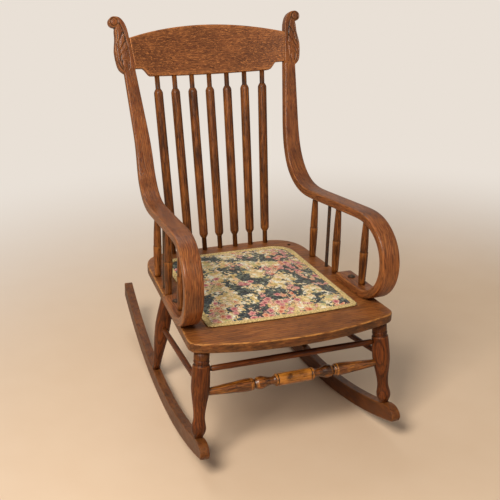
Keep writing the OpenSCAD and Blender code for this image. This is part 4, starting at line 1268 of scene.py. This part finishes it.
CREST_HALF = float(arm_middle(crest_at.x, crest_at.y)) - POST_WIDTH / 2
lean_back = Matrix.Rotation(math.pi / 2 - BACK_LEAN, 4, "X")
post_plane = (Matrix.Translation((CREST_HALF, crest_at.x, CREST_HEIGHT)) @ lean_back
              @ Matrix.Rotation(-math.atan(POST_SPLAY), 4, "Z"))
ear = carved_ear()
bmesh.ops.transform(ear, matrix=post_plane, verts=ear.verts[:])
ear_mesh = bpy.data.meshes.new("ear")
ear.to_mesh(ear_mesh)
print("ear", len(ear.verts), "points")
ear.free()

# %% [markdown]
# ## Both members
# The flat member is spread, the ear is joined to it, and the left member is the mirror
# image of the right one.

# %% Both members
for side, sign in (("left", -1), ("right", 1)):
    made = flat.copy()
    spread(made)
    made.from_mesh(ear_mesh)
    bmesh.ops.scale(made, vec=(sign, 1, 1), verts=made.verts[:])
    finish_piece(f"{side}_bent_member", made, oak_bent, f"{side}_bent_arm", along_member)
flat.free()
print("bent members", 2)

# %% [markdown]
# ## Crest rail
# The crest rail is sawn from quarter-sawn oak, so its face is full of ray flecks. Its top
# rises in one long arc. Its lower edge is straight between two shoulders that step up in
# an ogee towards the posts. It is shaped flat here, rounded along its edges, and then
# bent back on a wide circle.

# %% Crest rail
CREST_END = 0.080
CREST_MIDDLE = 0.113
CREST_DROP = 0.020
CREST_THICK = 0.020
CREST_BOW = 0.028
CREST_LIP = 0.020
CREST_OGEE = 0.024
CREST_EASE = 0.0022
CREST_GAP = 0.00015
CREST_COLUMNS, CREST_ROWS = 180, 12
crest_radius = (CREST_HALF ** 2 + CREST_BOW ** 2) / (2 * CREST_BOW)
crest_top_half = CREST_HALF + CREST_END * POST_SPLAY - CREST_GAP
crest_gain = CREST_MIDDLE - CREST_END
crest_arc = (crest_top_half ** 2 + crest_gain ** 2) / (2 * crest_gain)


def crest_edges(share):
    """Lower and upper point of the rail's face at a share of its half width."""
    lip = (CREST_HALF - CREST_GAP - CREST_LIP) / (CREST_HALF - CREST_GAP)
    start = (CREST_HALF - CREST_GAP - CREST_LIP - CREST_OGEE) / (CREST_HALF - CREST_GAP)
    t = min(max((abs(share) - start) / (lip - start), 0), 1)
    low = Vector((share * (CREST_HALF - CREST_GAP), -CREST_DROP * (1 + math.cos(math.pi * t)) / 2))
    x = share * crest_top_half
    return low, Vector((x, CREST_MIDDLE - crest_arc + math.sqrt(crest_arc ** 2 - x * x)))


made = bmesh.new()
bmesh.ops.create_grid(made, x_segments=CREST_COLUMNS, y_segments=CREST_ROWS, size=1)
for vert in made.verts:
    low, high = crest_edges(vert.co.x)
    point = low.lerp(high, (vert.co.y + 1) / 2)
    vert.co = (point.x, point.y, -CREST_THICK / 2)
thickened(made, (0, 0, CREST_THICK))
rims = [edge for edge in made.edges if edge.calc_face_angle(0) > 1 and
        abs(edge.verts[0].co.z - edge.verts[1].co.z) < SAME_PLACE]
rounded(made, rims, CREST_EASE)
for vert in made.verts:
    x, v, depth = vert.co
    vert.co.z = crest_radius - CREST_BOW - math.sqrt((crest_radius - depth) ** 2 - x * x)
bmesh.ops.transform(made, matrix=Matrix.Translation((0, crest_at.x, CREST_HEIGHT)) @ lean_back,
                    verts=made.verts[:])
finish_piece("bowed_crest_rail", made, oak_crest, "crest_rail", along_x)
print("crest rail spans", round(2 * CREST_HALF, 3))

# %% [markdown]
# ## Padded panel
# The seat's middle is a board with a low cushion under tapestry, tacked down all round
# under a braid. Its form is closed and has a gentle crown, so it is made from rings of
# the panel's outline that rise and shrink towards the middle, bridged one by one.

# %% Form of the pad
BRAID_WIDTH = 0.014
PAD_UNDER_BRAID = 0.86
PAD_EDGE = 0.0034
PAD_CROWN = 0.0105
REST_GAP = 0.0003
PAD_RINGS = 28


def pad_shape():
    """The crowned pad, closed above and below."""
    made = bmesh.new()
    inset = BRAID_WIDTH * PAD_UNDER_BRAID + REST_GAP
    edge = whole_outline(PANEL_WIDTH - 2 * inset, PANEL_BACK_WIDTH - 2 * inset, PANEL_DEPTH - 2 * inset,
                         PANEL_BOW, PANEL_FRONT_ROUND, PANEL_BACK_ROUND)
    middle = Vector((0, PANEL_DEPTH / 2 - inset))
    base = SEAT_TOP + REST_GAP
    rings = [ring_of(made, edge, PANEL_FRONT + inset, base)[1]]
    for step in range(PAD_RINGS):
        share = math.cos(math.pi / 2 * step / PAD_RINGS)
        points = [middle + share * (point - middle) for point in edge]
        rings.append(ring_of(made, points, PANEL_FRONT + inset,
                             base + PAD_EDGE + PAD_CROWN * (1 - share ** 4))[1])
    for low, high in zip(rings, rings[1:]):
        bmesh.ops.bridge_loops(made, edges=low + high)
    bmesh.ops.contextual_create(made, geom=rings[0])
    bmesh.ops.contextual_create(made, geom=rings[-1])
    bmesh.ops.recalc_face_normals(made, faces=made.faces[:])
    return made


print("pad rings", PAD_RINGS)

# %% [markdown]
# ## Stuffing
# Voxel remeshing makes the form even, and a cloth simulation blows it up a little
# against its pinned edge, as hair stuffing does, so that the cover pulls in at the
# corners. The movement is capped, and a slow noise gives the lumps of old stuffing.

# %% Stuffing
PAD_VOXEL = 0.004
PAD_PRESSURE = 4
PAD_FRAMES = 20
PAD_CAP = 0.0045
HELD_ABOVE_EDGE = 0.001
LUMP_HEIGHT = 0.0009
LUMP_SIZE = 0.045


def stuffed(made):
    """The pad after voxel remeshing and the simulation."""
    blank = bpy.data.objects.new("pad_blank", as_clay(made, PAD_VOXEL))
    bpy.context.scene.collection.objects.link(blank)
    start = places(blank.data)
    held = blank.vertex_groups.new(name="held")
    low = np.flatnonzero(start[:, 2] < SEAT_TOP + REST_GAP + PAD_EDGE + HELD_ABOVE_EDGE)
    held.add([int(i) for i in low], 1, "REPLACE")
    cloth = blank.modifiers.new("cloth", "CLOTH")
    cloth.settings.use_pressure = True
    cloth.settings.uniform_pressure_force = PAD_PRESSURE
    cloth.settings.vertex_group_mass = "held"
    cloth.settings.effector_weights.gravity = 0
    for frame_number in range(1, PAD_FRAMES + 1):
        bpy.context.scene.frame_set(frame_number)
    shaped = with_modifiers(blank)
    bpy.context.scene.frame_set(1)
    moved = places(shaped) - start
    far = np.linalg.norm(moved, axis=1)
    place = start + moved * np.minimum(1, PAD_CAP / np.maximum(far, 1e-9))[:, None]
    print("the simulation moved the pad by up to", round(float(far.max()) * 1000, 1), "mm")
    lift = np.clip((place[:, 2] - SEAT_TOP - REST_GAP - PAD_EDGE) / PAD_CROWN, 0, 1)
    lump = np.array([noise.noise(Vector(point) / LUMP_SIZE) for point in place])
    place[:, 2] += LUMP_HEIGHT * lump * lift
    place[:, 2] = np.maximum(place[:, 2], SEAT_TOP + REST_GAP)
    shaped.vertices.foreach_set("co", place.ravel())
    made = from_mesh(shaped)
    smoothed(made, 0.5, 2)
    return made


print("lumps are", LUMP_HEIGHT * 1000, "mm high at most")

# %% [markdown]
# ## Tapestry ground
# The cover is machine-woven tapestry in wool and cotton, and its figure is an all-over
# verdure: clumps of leaves in dark blue green over a gold and cream ground, with pink
# and red blossoms between them. A loom can only change colour from one stitch to the
# next, so the coordinates are first snapped to a stitch, and every colour changes in
# steps. A real stitch is about 0.9 mm, and it is drawn 1.8 mm wide so that the weave
# shows from the camera. The ground comes first: patches of six yarns from gold to cream,
# with some blush and moss laid over them and thin brown twigs. Noise in four dimensions
# gives patches that differ from layer to layer, each with a number of its own.

# %% Tapestry ground
STITCH = 0.0018
GROUND_PATCH = 0.019
BLUSH_PATCH = GROUND_PATCH * 0.8
MOSS_PATCH = GROUND_PATCH * 1.2
TWIG_SPAN = 0.034
TWIG_EDGE = 0.014
TWIG_CORE = 0.008

tapestry, tree = new_material("tapestry_woven_wool")


def yarns(value, stops):
    """The yarn that a value calls for: a colour that changes in steps, as on a loom."""
    steps = add(tree, "ShaderNodeValToRGB", {"Fac": value})
    steps.color_ramp.interpolation = "CONSTANT"
    for stop, colour in stops:
        spot = steps.color_ramp.elements.new(stop) if stop else steps.color_ramp.elements[0]
        spot.color = linear(colour)
    steps.color_ramp.elements.remove(steps.color_ramp.elements[-1])
    return steps.outputs["Color"]


place = add(tree, "ShaderNodeTexCoord").outputs["Object"]
flat_place = add(tree, "ShaderNodeMapping", {"Vector": place, "Scale": (1, 1, 0)}).outputs[0]
stitched = add(tree, "ShaderNodeVectorMath", {0: flat_place, 1: (STITCH, STITCH, 1)},
               operation="SNAP").outputs[0]
patch = add(tree, "ShaderNodeTexNoise",
            {"Vector": stitched, "W": 3, "Scale": 1 / GROUND_PATCH, "Detail": 4, "Roughness": 0.68},
            noise_dimensions="4D").outputs["Fac"]
ground = yarns(patch, ((0, "#b3944c"), (0.34, "#d8b96e"), (0.42, "#efd494"), (0.49, "#fde6b6"),
                       (0.55, "#fffae6"), (0.66, "#f6f6d2")))
for size, number, colour, start, share in ((BLUSH_PATCH, 17, "#f6bf94", 0.56, 0.75),
                                           (MOSS_PATCH, 11, "#c4c287", 0.57, 0.8)):
    patch = add(tree, "ShaderNodeTexNoise",
                {"Vector": stitched, "W": number, "Scale": 1 / size, "Detail": 4, "Roughness": 0.6},
                noise_dimensions="4D").outputs["Fac"]
    ground = laid_over(tree, ground, colour, patch, start, 0.6, share, soft=False)
lines = add(tree, "ShaderNodeTexNoise",
            {"Vector": stitched, "W": 29, "Scale": 1 / TWIG_SPAN, "Detail": 3, "Roughness": 0.6},
            noise_dimensions="4D").outputs["Fac"]
lines = add(tree, "ShaderNodeMath", {0: lines, 1: 0.5}, operation="SUBTRACT").outputs[0]
lines = add(tree, "ShaderNodeMath", {0: lines}, operation="ABSOLUTE").outputs[0]
ground = laid_over(tree, ground, "#7a5a3c", lines, TWIG_EDGE, TWIG_CORE, 0.5, soft=False)
print("a stitch is drawn", STITCH * 1000, "mm wide")

# %% [markdown]
# ## Leaves
# A leaf is one cell of a Voronoi texture, about 6 mm across, in one of five dark yarns
# with a paler rim. Slow noise gathers the leaves into clumps, and a share of each leaf's
# own value is added to it, so that the clumps end leaf by leaf.

# %% Leaves
LEAF_SIZE = 0.0062
CLUMP_SIZE = 0.060
LEAF_SCATTER = 0.11
CLUMP_FROM = 0.55
CLUMP_FULL = 0.555

leaves = add(tree, "ShaderNodeTexVoronoi", {"Vector": stitched, "Scale": 1 / LEAF_SIZE, "Randomness": 1})
leaf_kind = add(tree, "ShaderNodeSeparateColor", {"Color": leaves.outputs["Color"]}).outputs[0]
leaf_colour = yarns(leaf_kind, ((0, "#121925"), (0.32, "#1c2734"), (0.6, "#2b3844"), (0.8, "#435058"),
                                (0.93, "#78846f")))
leaf_colour = laid_over(tree, leaf_colour, "#8a9480", leaves.outputs["Distance"], 0.5, 0.7, 0.35, soft=False)
clump = add(tree, "ShaderNodeTexNoise",
            {"Vector": stitched, "W": 23, "Scale": 1 / CLUMP_SIZE, "Detail": 4, "Roughness": 0.58},
            noise_dimensions="4D").outputs["Fac"]
leafy = add(tree, "ShaderNodeMath", {0: leaf_kind, 1: LEAF_SCATTER, 2: clump},
            operation="MULTIPLY_ADD").outputs[0]
figure = laid_over(tree, ground, leaf_colour, leafy, CLUMP_FROM, CLUMP_FULL, soft=False)
print("leaves are", LEAF_SIZE * 1000, "mm across")

# %% [markdown]
# ## Blossoms
# A blossom is a larger Voronoi cell whose rings change colour from a dark heart to pale
# petals and a dark rim. The sine of five times the angle about its middle gives it five
# petals, and fine noise frays them. Blossoms gather in clusters, most of all towards the
# front of the seat and towards one side, as the weaver's figure does.

# %% Blossoms
BLOSSOM_SPACING = 0.0185
BLOSSOM_CLUSTER = 0.070
BLOSSOM_SCATTER = 0.13
PETALS = 5
PETAL_REACH = 0.66
PETAL_SWING = 0.09
PETAL_FRAY = 0.36
FRAY_SIZE = 0.004167

spots = add(tree, "ShaderNodeTexVoronoi",
            {"Vector": stitched, "Scale": 1 / BLOSSOM_SPACING, "Randomness": 1})
arm = add(tree, "ShaderNodeVectorMath", {0: stitched, 1: spots.outputs["Position"]},
          operation="SUBTRACT").outputs[0]
arm = add(tree, "ShaderNodeSeparateXYZ", {"Vector": arm})
angle = add(tree, "ShaderNodeMath", {0: arm.outputs["Y"], 1: arm.outputs["X"]},
            operation="ARCTAN2").outputs[0]
angle = add(tree, "ShaderNodeMath", {0: angle, 1: PETALS}, operation="MULTIPLY").outputs[0]
petals = add(tree, "ShaderNodeMath", {0: angle}, operation="SINE").outputs[0]
reach = add(tree, "ShaderNodeMath", {0: petals, 1: PETAL_SWING, 2: PETAL_REACH},
            operation="MULTIPLY_ADD").outputs[0]
part = add(tree, "ShaderNodeMath", {0: spots.outputs["Distance"], 1: reach}, operation="DIVIDE").outputs[0]
fray = add(tree, "ShaderNodeTexNoise",
           {"Vector": stitched, "W": 31, "Scale": 1 / FRAY_SIZE, "Detail": 2, "Roughness": 0.5},
           noise_dimensions="4D").outputs["Fac"]
part = add(tree, "ShaderNodeMath", {0: fray, 1: PETAL_FRAY, 2: part}, operation="MULTIPLY_ADD").outputs[0]
pink = yarns(part, ((0, "#7d2a3e"), (0.28, "#b5505f"), (0.48, "#d48084"), (0.7, "#ecb5a4"),
                    (0.9, "#96505a")))
coral = yarns(part, ((0, "#8f2f31"), (0.28, "#c9604c"), (0.48, "#e39474"), (0.72, "#f2caa2"),
                     (0.91, "#a5584e")))
kind = add(tree, "ShaderNodeSeparateColor", {"Color": spots.outputs["Color"]})
petal_colour = laid_over(tree, pink, coral, kind.outputs[1], 0.5, 0.52, soft=False)
cluster = add(tree, "ShaderNodeTexNoise",
              {"Vector": stitched, "W": 41, "Scale": 1 / BLOSSOM_CLUSTER, "Detail": 1, "Roughness": 0.5},
              noise_dimensions="4D").outputs["Fac"]
where = add(tree, "ShaderNodeSeparateXYZ", {"Vector": place})
for axis, start, full, least, most in (("Y", -0.16, -0.3, -0.03, 0.07), ("X", 0.06, 0.16, 0, 0.06)):
    more = add(tree, "ShaderNodeMapRange",
               {"Value": where.outputs[axis], 1: start, 2: full, 3: least, 4: most}).outputs[0]
    cluster = add(tree, "ShaderNodeMath", {0: cluster, 1: more}, operation="ADD").outputs[0]
grown = add(tree, "ShaderNodeMath", {0: kind.outputs[0], 1: BLOSSOM_SCATTER, 2: cluster},
            operation="MULTIPLY_ADD").outputs[0]
grown = add(tree, "ShaderNodeMapRange", {"Value": grown, 1: 0.61, 2: 0.615}).outputs[0]
inside = add(tree, "ShaderNodeMapRange", {"Value": part, 1: 0.99, 2: 0.98}).outputs[0]
bloom = add(tree, "ShaderNodeMath", {0: inside, 1: grown}, operation="MULTIPLY").outputs[0]
figure = laid_over(tree, figure, petal_colour, bloom, 0, 1, soft=False)
print("blossoms stand about", BLOSSOM_SPACING * 1000, "mm apart")

# %% [markdown]
# ## Threads of the tapestry
# No two threads take the dye alike, so white noise changes each stitch a little. Waves
# one stitch long, in both directions, raise the ribs of warp and weft for the light, and the
# hollows between the ribs are painted darker, as painted shade.

# %% Threads of the tapestry
threads = add(tree, "ShaderNodeTexWhiteNoise", {"Vector": stitched}, noise_dimensions="3D").outputs["Value"]
figure = laid_over(tree, figure, "#6f6448", threads, 0, 1, 0.1, soft=False)
weft, warp = (add(tree, "ShaderNodeTexWave", {"Vector": flat_place, "Scale": WAVE_PERIOD / STITCH},
                  wave_type="BANDS", bands_direction=way, wave_profile="SIN").outputs["Fac"]
              for way in ("Y", "X"))
rib = add(tree, "ShaderNodeMath", {0: weft, 1: warp}, operation="MAXIMUM").outputs[0]
# The hollows between the ribs are painted darker, as painted shade.
figure = laid_over(tree, figure, "#3a3528", rib, 0.9, 0.55, 0.1, soft=False)
bump = add(tree, "ShaderNodeBump", {"Height": rib, "Strength": 0.7, "Distance": 0.0006}).outputs[0]
surface(tree, add(tree, "ShaderNodeBsdfPrincipled",
                  {"Base Color": figure, "Roughness": 0.9, "Normal": bump, "Specular IOR Level": 0.25,
                   "Sheen Weight": 0.2, "Sheen Roughness": 0.5, "Sheen Tint": linear("#d6cfc0")}))
pad = finish_piece("tapestry_pad", stuffed(pad_shape()), tapestry, "seat_pad", flats=False)
print("pad", [round(c, 3) for c in pad.dimensions])

# %% [markdown]
# ## Braid yarn
# The braid is mercerised cotton in old gold. Its yarn is painted lighter where it stands
# proud, as a painted highlight, and darker in the knots of the plait, as painted shade,
# and it is duller where hands and dust have aged it.

# %% Braid yarn
YARN_SIZE = 0.00238
KNOT_SHADE_SIZE = 0.003846
AGED_PATCH = 0.04545

braid, tree = new_material("braid_plaited_cotton")
place = add(tree, "ShaderNodeTexCoord").outputs["Object"]
proud_and_highlight = clouds(tree, place, YARN_SIZE)
# Where the yarn stands proud it is painted lighter, as a painted highlight.
gold = laid_over(tree, linear("#c0a057"), "#e8cf92", proud_and_highlight, 0.35, 0.6, soft=False)
gold = laid_over(tree, gold, "#ab9a5e", clouds(tree, place, AGED_PATCH, 3), 0.5, 0.7, 0.45, soft=False)
# The knots are painted darker, as painted shade.
gold = laid_over(tree, gold, "#8a7440", clouds(tree, place, KNOT_SHADE_SIZE, 1), 0.52, 0.6, 0.6, soft=False)
bump = add(tree, "ShaderNodeBump", {"Height": proud_and_highlight, "Strength": 0.6, "Distance": 0.0005}).outputs[0]
surface(tree, add(tree, "ShaderNodeBsdfPrincipled",
                  {"Base Color": gold, "Roughness": 0.85, "Normal": bump, "Sheen Weight": 0.2,
                   "Sheen Roughness": 0.5}))
print("braid yarn is", round(YARN_SIZE * 1000, 1), "mm")

# %% [markdown]
# ## Braid
# The edge of the cover is hidden under upholstery braid: three gold cords plaited flat.
# Each cord swings from side to side once in a plait's length, and up and down twice, a
# third behind its neighbour. The cords are curves with a round section. They become a
# mesh that is pressed flat, because real braid is flat too.

# %% Braid
PLAIT_LENGTH = 0.0135
CORD_RADIUS = 0.0029
CORD_SWING = 0.0050
CORD_LIFT = 0.0028
CORD_FLATNESS = 0.42
CORD_STEPS = 12
BRAID_MIDDLE = 0.0076


def even_steps(points, count):
    """Points at even distances round a closed line, and the way out of it at each."""
    points = np.array([tuple(point) for point in points])
    closed = np.vstack([points, points[:1]])
    far = np.concatenate([[0], np.cumsum(np.linalg.norm(np.diff(closed, axis=0), axis=1))])
    at = np.arange(count) * far[-1] / count
    line = np.stack([np.interp(at, far, closed[:, i]) for i in (0, 1)], 1)
    along = np.roll(line, -1, axis=0) - np.roll(line, 1, axis=0)
    along /= np.linalg.norm(along, axis=1)[:, None]
    return line, np.stack([along[:, 1], -along[:, 0]], 1), far[-1]


border = panel_outline(-BRAID_MIDDLE)
length = even_steps(border, 10)[2]
plaits = round(length / PLAIT_LENGTH)
line, out, length = even_steps(border, plaits * CORD_STEPS)
turn = np.arange(len(line)) * 2 * math.pi / CORD_STEPS
cords = bmesh.new()
for strand in range(3):
    swing = turn + strand * 2 * math.pi / 3
    side = line + out * (CORD_SWING * np.sin(swing))[:, None]
    data = bpy.data.curves.new("cord", "CURVE")
    data.dimensions = "3D"
    data.twist_mode = "Z_UP"
    data.bevel_depth = CORD_RADIUS
    data.bevel_resolution = 1
    spline = data.splines.new("POLY")
    spline.points.add(len(side) - 1)
    spline.use_cyclic_u = True
    for point, at, lift in zip(spline.points, side, CORD_LIFT * np.sin(2 * swing)):
        point.co = (at[0], PANEL_FRONT + BRAID_MIDDLE + at[1], lift, 1)
    cord = bpy.data.objects.new("cord", data)
    bpy.context.scene.collection.objects.link(cord)
    shaped = with_modifiers(cord)
    cords.from_mesh(shaped)
    bpy.data.meshes.remove(shaped)
    bpy.data.curves.remove(data)
bmesh.ops.scale(cords, vec=(1, 1, CORD_FLATNESS), verts=cords.verts[:])
lowest = min(vert.co.z for vert in cords.verts)
bmesh.ops.translate(cords, verts=cords.verts[:], vec=(0, 0, SEAT_TOP + REST_GAP - lowest))
finish_piece("plaited_braid", cords, braid, "panel_braid", flats=False)
print("braid", round(length, 3), "m long,", plaits, "plaits")

# %% [markdown]
# ## Steel and hidden oak
# The rods, bolts, nuts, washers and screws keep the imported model's shapes. They are mild
# steel that has gone nearly black, with a little brown rust. The board, dowels, pins and
# plugs are plain oak. None of these has a grain attribute, so they read Object
# coordinates.

# %% Steel and hidden oak
RUST_SPOT = 0.004
HIDDEN_DRAW = 0.08

steel, tree = new_material("mild_steel_blackened")
place = add(tree, "ShaderNodeTexCoord").outputs["Object"]
rust = clouds(tree, place, RUST_SPOT, 4)
colour = laid_over(tree, linear("#4d443c"), "#6b4a35", rust, 0.46, 0.62, soft=False)
dull = add(tree, "ShaderNodeMapRange", {"Value": rust, 1: 0.4, 2: 0.7, 3: 0.42, 4: 0.75}).outputs[0]
bump = add(tree, "ShaderNodeBump", {"Height": rust, "Strength": 0.3, "Distance": 0.0003}).outputs[0]
surface(tree, add(tree, "ShaderNodeBsdfPrincipled",
                  {"Base Color": colour, "Metallic": 0.85, "Roughness": dull, "Normal": bump}))

hidden_oak, tree = new_material("oak_sawn_unstained")
place = add(tree, "ShaderNodeTexCoord").outputs["Object"]
place = add(tree, "ShaderNodeMapping", {"Vector": place, "Scale": (HIDDEN_DRAW, 1, 1)}).outputs[0]
fibre = clouds(tree, place, FIBRE_WIDTH, 3)
colour = laid_over(tree, linear("#6a3d1c"), "#825027", fibre, 0.35, 0.65, soft=False)
bump = add(tree, "ShaderNodeBump", {"Height": fibre, "Strength": 0.3, "Distance": 0.0004}).outputs[0]
surface(tree, add(tree, "ShaderNodeBsdfPrincipled", {"Base Color": colour, "Roughness": 0.6, "Normal": bump}))

KEPT = {steel: ("left_arm_rod", "right_arm_rod", "rod_nuts", "foot_bolts", "foot_bolt_nuts", "panel_screws"),
        hidden_oak: ("panel_board", "crest_dowels", "rocker_pins", "seat_plugs")}
for material, nodes in KEPT.items():
    for node in nodes:
        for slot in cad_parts[node].material_slots:
            slot.material = material
print("kept nodes", sum(len(nodes) for nodes in KEPT.values()))

# %% [markdown]
# ## Stage
# The chair stands in a light room. The stage is one wide disc: near the chair it is a
# matt, sandy floor that takes the shadow, and farther out the camera sees it fade into
# the colour of the wall, so there is no hard line behind the chair.

# %% Stage
WALL_COLOUR = "#e9e0d6"
FLOOR_RADIUS = 14
FLOOR_MIDDLE = (0.32, -0.34, 0)
FLOOR_NEAR = 0.8
FLOOR_FAR = 2.4
FLOOR_MOTTLE = 0.111
made = bmesh.new()
bmesh.ops.create_circle(made, cap_ends=True, segments=128, radius=FLOOR_RADIUS)
mesh = bpy.data.meshes.new("stage_floor")
made.to_mesh(mesh)
made.free()
floor_paint, tree = new_material("pale_studio_floor")
place = add(tree, "ShaderNodeTexCoord").outputs["Object"]
path = add(tree, "ShaderNodeLightPath").outputs["Is Camera Ray"]
away = add(tree, "ShaderNodeVectorMath", {0: place, 1: FLOOR_MIDDLE}, operation="DISTANCE").outputs["Value"]
far = add(tree, "ShaderNodeMapRange", {"Value": away, 1: FLOOR_NEAR, 2: FLOOR_FAR, 3: 0, 4: 1},
          interpolation_type="SMOOTHSTEP").outputs[0]
far = add(tree, "ShaderNodeMath", {0: far, 1: path}, operation="MULTIPLY").outputs[0]
base = laid_over(tree, linear("#e4c9ab"), "#e9d0b4", clouds(tree, place, FLOOR_MOTTLE, 3), 0, 1, soft=False)
matt = add(tree, "ShaderNodeBsdfPrincipled", {"Base Color": base, "Roughness": 0.6})
glow = add(tree, "ShaderNodeEmission", {"Color": linear(WALL_COLOUR), "Strength": 1})
surface(tree, add(tree, "ShaderNodeMixShader", {0: far, 1: matt.outputs[0], 2: glow.outputs[0]}))
mesh.materials.append(floor_paint)
floor = bpy.data.objects.new("stage_floor", mesh)
bpy.context.scene.collection.objects.link(floor)
print("the floor fades out", FLOOR_FAR, "m from its middle")

# %% [markdown]
# ## Lamps
# A large warm lamp lights the chair from the left front, as in the photograph, with a
# weak fill on the right and a little light from behind.

# %% Lamps
def area_light(name, at, towards, size, power, colour="#ffffff"):
    """A square softbox."""
    data = bpy.data.lights.new(name, "AREA")
    data.size = size
    data.energy = power
    data.color = linear(colour)[:3]
    lamp = bpy.data.objects.new(name, data)
    turn = (Vector(towards) - Vector(at)).to_track_quat("-Z", "Y").to_matrix().to_4x4()
    lamp.matrix_world = Matrix.Translation(at) @ turn
    bpy.context.scene.collection.objects.link(lamp)


area_light("key", (-1.8, -1.9, 2.6), (0, 0, 0.5), 1.15, 112, "#fff6ea")
area_light("fill", (1.9, -2.8, 2.0), (0, 0, 0.5), 2.2, 4)
area_light("back", (-0.3, 1.6, 2.9), (0, 0, 0.5), 1.8, 20)
print("key, fill and back lamps", 3)

# %% [markdown]
# ## Light of the room
# The walls of a light room also light the chair, but much less than the camera sees of
# them. So the camera sees the wall's full colour, a reflection shows a little over half
# of it, and everything else gets only a weak light.

# %% Light of the room
WORLD_LIGHT = 0.23
GLOSSY_SHARE = 0.5

world = bpy.data.worlds.new("studio")
world.use_nodes = True
tree = world.node_tree
tree.nodes.clear()
path = add(tree, "ShaderNodeLightPath")
seen = add(tree, "ShaderNodeMath", {0: path.outputs["Is Camera Ray"], 1: path.outputs["Is Transmission Ray"]},
           operation="MAXIMUM").outputs[0]
seen = add(tree, "ShaderNodeMath", {0: path.outputs["Is Glossy Ray"], 1: GLOSSY_SHARE, 2: seen},
           operation="MULTIPLY_ADD").outputs[0]
strength = add(tree, "ShaderNodeMapRange", {"Value": seen, 1: 0, 2: 1, 3: WORLD_LIGHT, 4: 1}).outputs[0]
room = add(tree, "ShaderNodeBackground", {"Color": linear(WALL_COLOUR), "Strength": strength})
output = add(tree, "ShaderNodeOutputWorld")
tree.links.new(room.outputs[0], output.inputs["Surface"])
bpy.context.scene.world = world
print("the room gives", WORLD_LIGHT, "of its colour as light")
